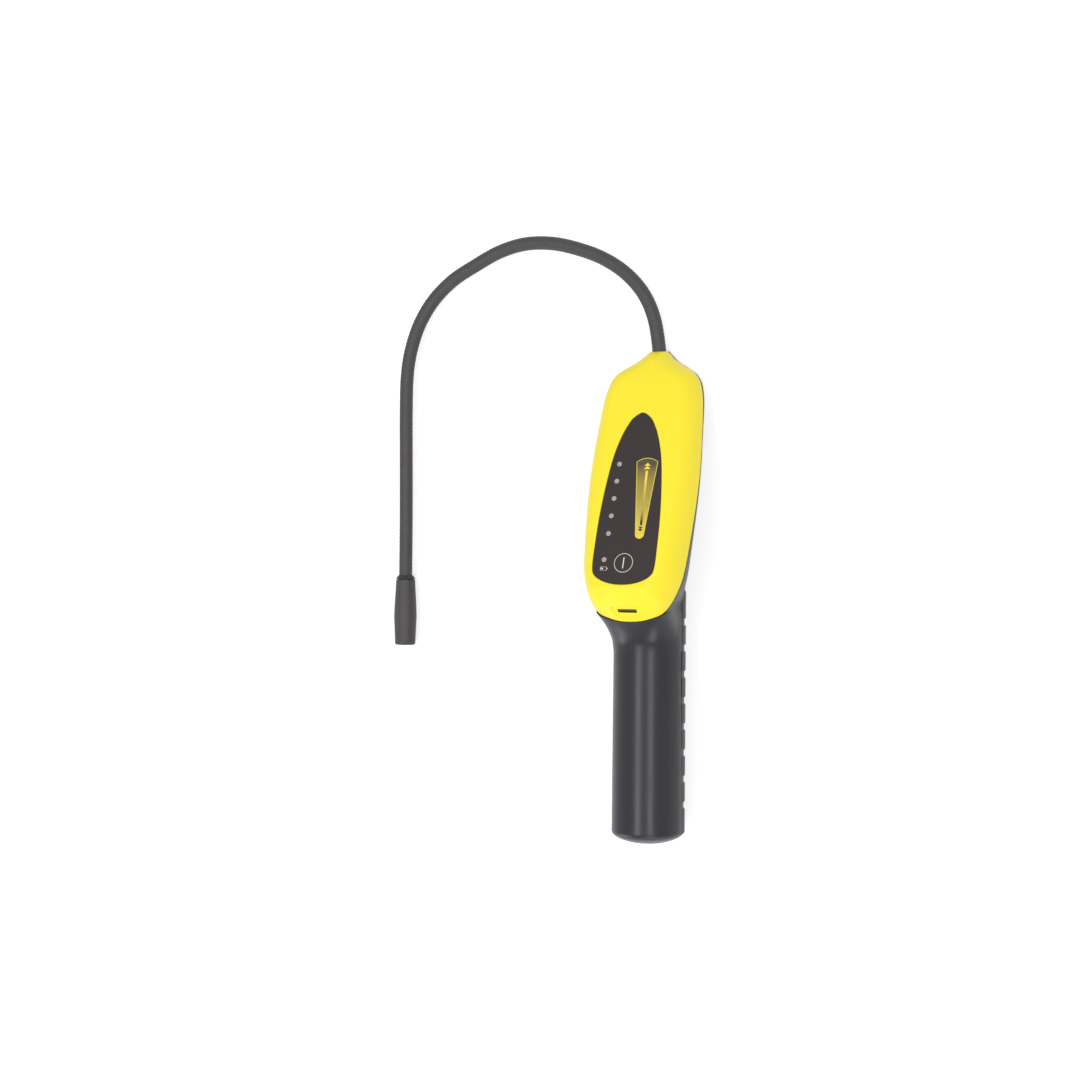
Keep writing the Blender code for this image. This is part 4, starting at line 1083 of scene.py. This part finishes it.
def doorSection(angle):
    atSeam = angle in (0, 180)
    rise = door["seamRise"] if atSeam else door["rise"] * min(1.0, min(angle, 180 - angle) / door["fade"])
    turn = radians(180 + angle)
    half = (door["pitch"] - door["groove"]) / 2
    edge = [(door["edge"] * run, door["radius"] + rise * up) for run, up in door["edgeShape"]]
    radii = []
    for k in door["pads"]:
        low = door["lowY"] if k == door["pads"][0] else door["pitch"] * k - half
        high = grip["doorTop"] if k == door["pads"][-1] else door["pitch"] * k + half
        radii += [(low + run, radius) for run, radius in edge]
        radii += [(high - run, radius) for run, radius in reversed(edge)]
    radii += [(grip["doorTop"], grip["bay"]), (door["lowY"], grip["bay"])]
    loop = []
    for y, radius in radii:
        height = gripAxis + radius * sin(turn)
        lean = grip["relief"] * height / gripAxis if y > grip["doorTop"] - 2.0 else 0.0
        loop.append(Vector((radius * cos(turn), y - lean, max(0.0, height))))
    lowered = Vector((0, 0, door["seamDrop"] if atSeam else 0.0))
    return [point - lowered for point in loop]


def doorPiece():
    made = newPiece("door_shell", solid([doorSection(angle) for angle in door["angles"]]), "door")
    carve(made, pair(earOutline(0.0), *grip["earReach"]), "UNION")
    carve(made, brick(*grip["lug"]), "UNION")
    evenShading(made, 30)
    return made


standsFor(doorPiece(), "battery_door", "door_plastic", "battery_door")
print("battery door made")


# cells, contact and spring, seen when the door is open
spring = {"wire": 0.55, "low": -69.55, "high": -63.15, "wide": 8.5, "narrow": 5.0, "coils": 3.5, "steps": 126}
contact = [(0, 61.3), (2.2, 61.3), (2.6, 61.6), (7.5, 61.6), (7.5, 61.9), (0, 61.9)]


def cellPiece(name, low):
    radius, length, nub = cells["radius"], cells["length"], cells["nub"]
    body = length - cells["nubHeight"]
    profile = [
        (0, 0.25), (radius - 3.4, 0.25), (radius - 2.6, 0.0), (radius - 0.3, 0.0), (radius - 0.05, 0.5),
        (radius - 0.25, 1.2), (radius, 1.9), (radius, body - 1.6), (radius - 0.3, body - 0.6),
        (radius - 1.2, body), (radius - 3.2, body - 0.25), (nub + 1.2, body - 0.25), (nub + 0.1, body + 0.1),
        (nub, length - 0.5), (nub - 0.5, length), (0, length)]
    place = gripFrame @ moved((0, 0, low))
    return newPiece(name, revolve(softCorners(profile, 0.3, 3), 72, place), "cell", 30)


def springPiece():
    rings = []
    for k in range(spring["steps"] + 1):
        share = k / spring["steps"]
        turn = 2 * pi * spring["coils"] * share
        out = Vector((cos(turn), sin(turn), 0))
        radius = between(spring["wide"], spring["narrow"], share)
        height = between(spring["low"], spring["high"], share)
        middle = Vector((radius * cos(turn), radius * sin(turn), height))
        spokes = [out * cos(a) + Vector((0, 0, 1)) * sin(a) for a in turnsOf(12)]
        rings.append([gripFrame @ (middle + spring["wire"] * spoke) for spoke in spokes])
    return newPiece("cell_spring", solid(rings), "steel", 50)


def contactDisc():
    return newPiece("contact_disc", revolve(softCorners(contact, 0.15, 2), 48, gripFrame), "steel")


standsFor(cellPiece("cell_lower", cells["starts"][0]), "housing", "cell_jacket", "battery_lower")
standsFor(cellPiece("cell_upper", cells["starts"][1]), "housing", "cell_jacket", "battery_upper")
standsFor(springPiece(), "housing", "spring_steel", "negative_spring")
standsFor(contactDisc(), "housing", "spring_steel", "positive_contact")


# cover screws, seen up their bores from behind
def coverScrew(name, side):
    depth = partingDepth(screw["h"]) + 4.5
    place = panelFrame @ moved((side * screw["x"], screw["h"], -depth))
    made = newPiece(name, revolve(screw["profile"], 32, place), "steel")
    for halfX, halfY in ((1.5, 0.32), (0.32, 1.5)):  # the cross recess
        carve(made, brick((-halfX, -halfY, -2.2), (halfX, halfY, -0.9), place))
    evenShading(made)
    return made


standsFor(coverScrew("cover_screw_left_fine", -1), "housing", "spring_steel", "cover_screw_left")
standsFor(coverScrew("cover_screw_right_fine", 1), "housing", "spring_steel", "cover_screw_right")
print("cells and screws made")


# sensor tip: collar, plug-in socket and the vented cap
tip = {
    "roll": radians(24.1), "start": 78.9, "low": 3.0, "length": 40.5, "widest": 25.5, "widestRadius": 6.985,
    "endRadius": 6.3, "mouth": 4.5, "ledge": 9.6, "ledgeRadius": 3.3, "bore": 5.2,
    "ventAt": 17.0, "ventHalf": (0.7, 1.3), "ventCorner": 0.55, "ventReach": (3.9, 8.0),
    "socket": [(0, 0.3), (4.35, 0.3), (4.6, 0.5), (5.85, 2.2), (5.95, 2.4), (5.95, 2.7), (4.9, 2.7),
               (4.9, 16.9), (4.1, 17.7), (0, 17.7)],
}
ahead = (hoseRoute[-1] - Vector((*hose["points"][-2], hoseAxis))).normalized()
tipFrame = moved((hose["points"][-1][0], tip["start"], hoseAxis))
tipFrame = tipFrame @ turned(atan2(-ahead.x, ahead.y), "Z") @ alongY


def capPiece():
    low, high = tip["low"], tip["low"] + tip["length"]
    widest, end, mouth = tip["widest"], tip["endRadius"], tip["mouth"]
    ledge, inner, bored = high - tip["ledge"], tip["ledgeRadius"], tip["bore"]
    outer = smoothPath([
        (5.95, low + 0.55), (6.12, low + 5.0), (6.65, widest - 9), (tip["widestRadius"], widest),
        (6.8, widest + 5), (end + 0.05, high - 1.3)], 8)
    profile = [(bored, low), (5.6, low), (5.85, low + 0.15)] + [tuple(p) for p in outer]
    profile += [(end - 0.05, high - 0.9), (end - 0.25, high - 0.35), (end - 0.7, high), (mouth + 0.4, high)]
    profile += [(mouth + 0.05, high - 0.3), (mouth, high - 0.8), (mouth, ledge), (inner, ledge)]
    profile += [(inner, ledge - 1.2), (bored, ledge - 1.2)]
    made = newPiece("cap_shell", revolve(profile, 96, tipFrame), "tip", 30)
    vents = bmesh.new()
    vent = [(y, x) for x, y in softCorners(rectangle(*tip["ventHalf"]), tip["ventCorner"], 4)]
    place = tipFrame @ moved((0, 0, low + tip["ventAt"])) @ turned(-tip["roll"], "Z")
    for side in (-1, 1):
        plate(vent, *tip["ventReach"], place @ turned(side * pi / 2, "Y"), vents)
    carve(made, vents)
    evenShading(made, 30)
    return made


socket = newPiece("socket_body", revolve(tip["socket"], 64, tipFrame), "socket", 30)
standsFor(socket, "probe_tip", "housing_plastic", "sensor_socket")
standsFor(capPiece(), "tip_cap", "cap_rubber", "tip_cap")
print("sensor tip made")


# floor, lights and camera, in metres
studio = {
    "floorSize": 6.0, "floorColour": (0.86, 0.86, 0.86), "floorGlow": 0.50, "floorMirrored": 0.4,
    "sky": 0.575, "aim": (0, 0.05, 0.03), "away": 1.6,
    "lamps": [  # lean to the right, lean to the front, width, length, power
        (-11.0, 0.0, 0.26, 1.7, 8.2), (29.0, 0.0, 0.24, 1.7, 6.9), (-44.0, 78.0, 0.8, 0.6, 3.8),
        (12.0, 73.0, 0.4, 0.7, 2.6)],
    "lens": 76.02, "cameraAt": (0.48767, 0.10095, 1.26721), "cameraRight": (0.91268, 0.00598, -0.40863),
    "cameraUp": (-0.00546, 0.99998, 0.00244), "cameraBack": (0.40863, 0, 0.91270),
}


def plainFloor():
    shape = bmesh.new()
    half = studio["floorSize"] * 500
    shape.faces.new([shape.verts.new((x, y, 0)) for x, y in rectangle(half, half)])
    look = Finish("floor", studio["floorColour"], 0.8)
    mirrored = look.node("ShaderNodeLightPath", out="Is Glossy Ray") * studio["floorMirrored"]
    path = look.node("ShaderNodeLightPath", out="Is Camera Ray").most(mirrored)
    glow = look.node("ShaderNodeEmission", None, {"Color": (1, 1, 1), "Strength": studio["floorGlow"]})
    plain = Wire(look, look.shader.outputs[0])
    both = look.node("ShaderNodeAddShader", None, {0: glow, 1: plain})
    shown = look.node("ShaderNodeMixShader", None, {0: path, 1: plain, 2: both})
    look.join(shown, look.tree.nodes["Material Output"].inputs["Surface"])
    looks["floor"] = look.material
    newPiece("floor", shape, "floor")


def softSky():
    # full white to the camera and in reflections, dimmer as light
    world = bpy.data.worlds.new("studio")
    bpy.context.scene.world = world
    world.use_nodes = True
    sky = Graph(world.node_tree)
    seen, glossy, through = (sky.node("ShaderNodeLightPath", out="Is %s Ray" % kind)
                             for kind in ("Camera", "Glossy", "Transmission"))
    shown = seen.most(glossy).most(through)
    back = world.node_tree.nodes["Background"]
    sky.join((1, 1, 1), back.inputs["Color"])
    sky.join(shown * (1 - studio["sky"]) + studio["sky"], back.inputs["Strength"])


def stripLights():
    for right, front, width, length, power in studio["lamps"]:
        light = bpy.data.lights.new("strip", "AREA")
        light.shape = "RECTANGLE"
        light.size, light.size_y = width, length
        light.energy = power
        lamp = bpy.data.objects.new("strip", light)
        turn = turned(radians(front), "X") @ turned(radians(right), "Y")
        lamp.matrix_world = moved(studio["aim"]) @ turn @ moved((0, 0, studio["away"]))
        bpy.context.scene.collection.objects.link(lamp)


def photoCamera():
    lens = bpy.data.cameras.new("photo_camera")
    lens.lens = studio["lens"]
    lens.sensor_width = 36
    lens.clip_start = 0.05
    camera = bpy.data.objects.new("photo_camera", lens)
    turn = Matrix([Vector(studio["camera" + axis]) for axis in ("Right", "Up", "Back")]).transposed().to_4x4()
    camera.matrix_world = moved(studio["cameraAt"]) @ turn
    bpy.context.scene.collection.objects.link(camera)
    bpy.context.scene.camera = camera


plainFloor()
softSky()
stripLights()
photoCamera()
bpy.context.scene.view_settings.view_transform = "Standard"
print("studio made")
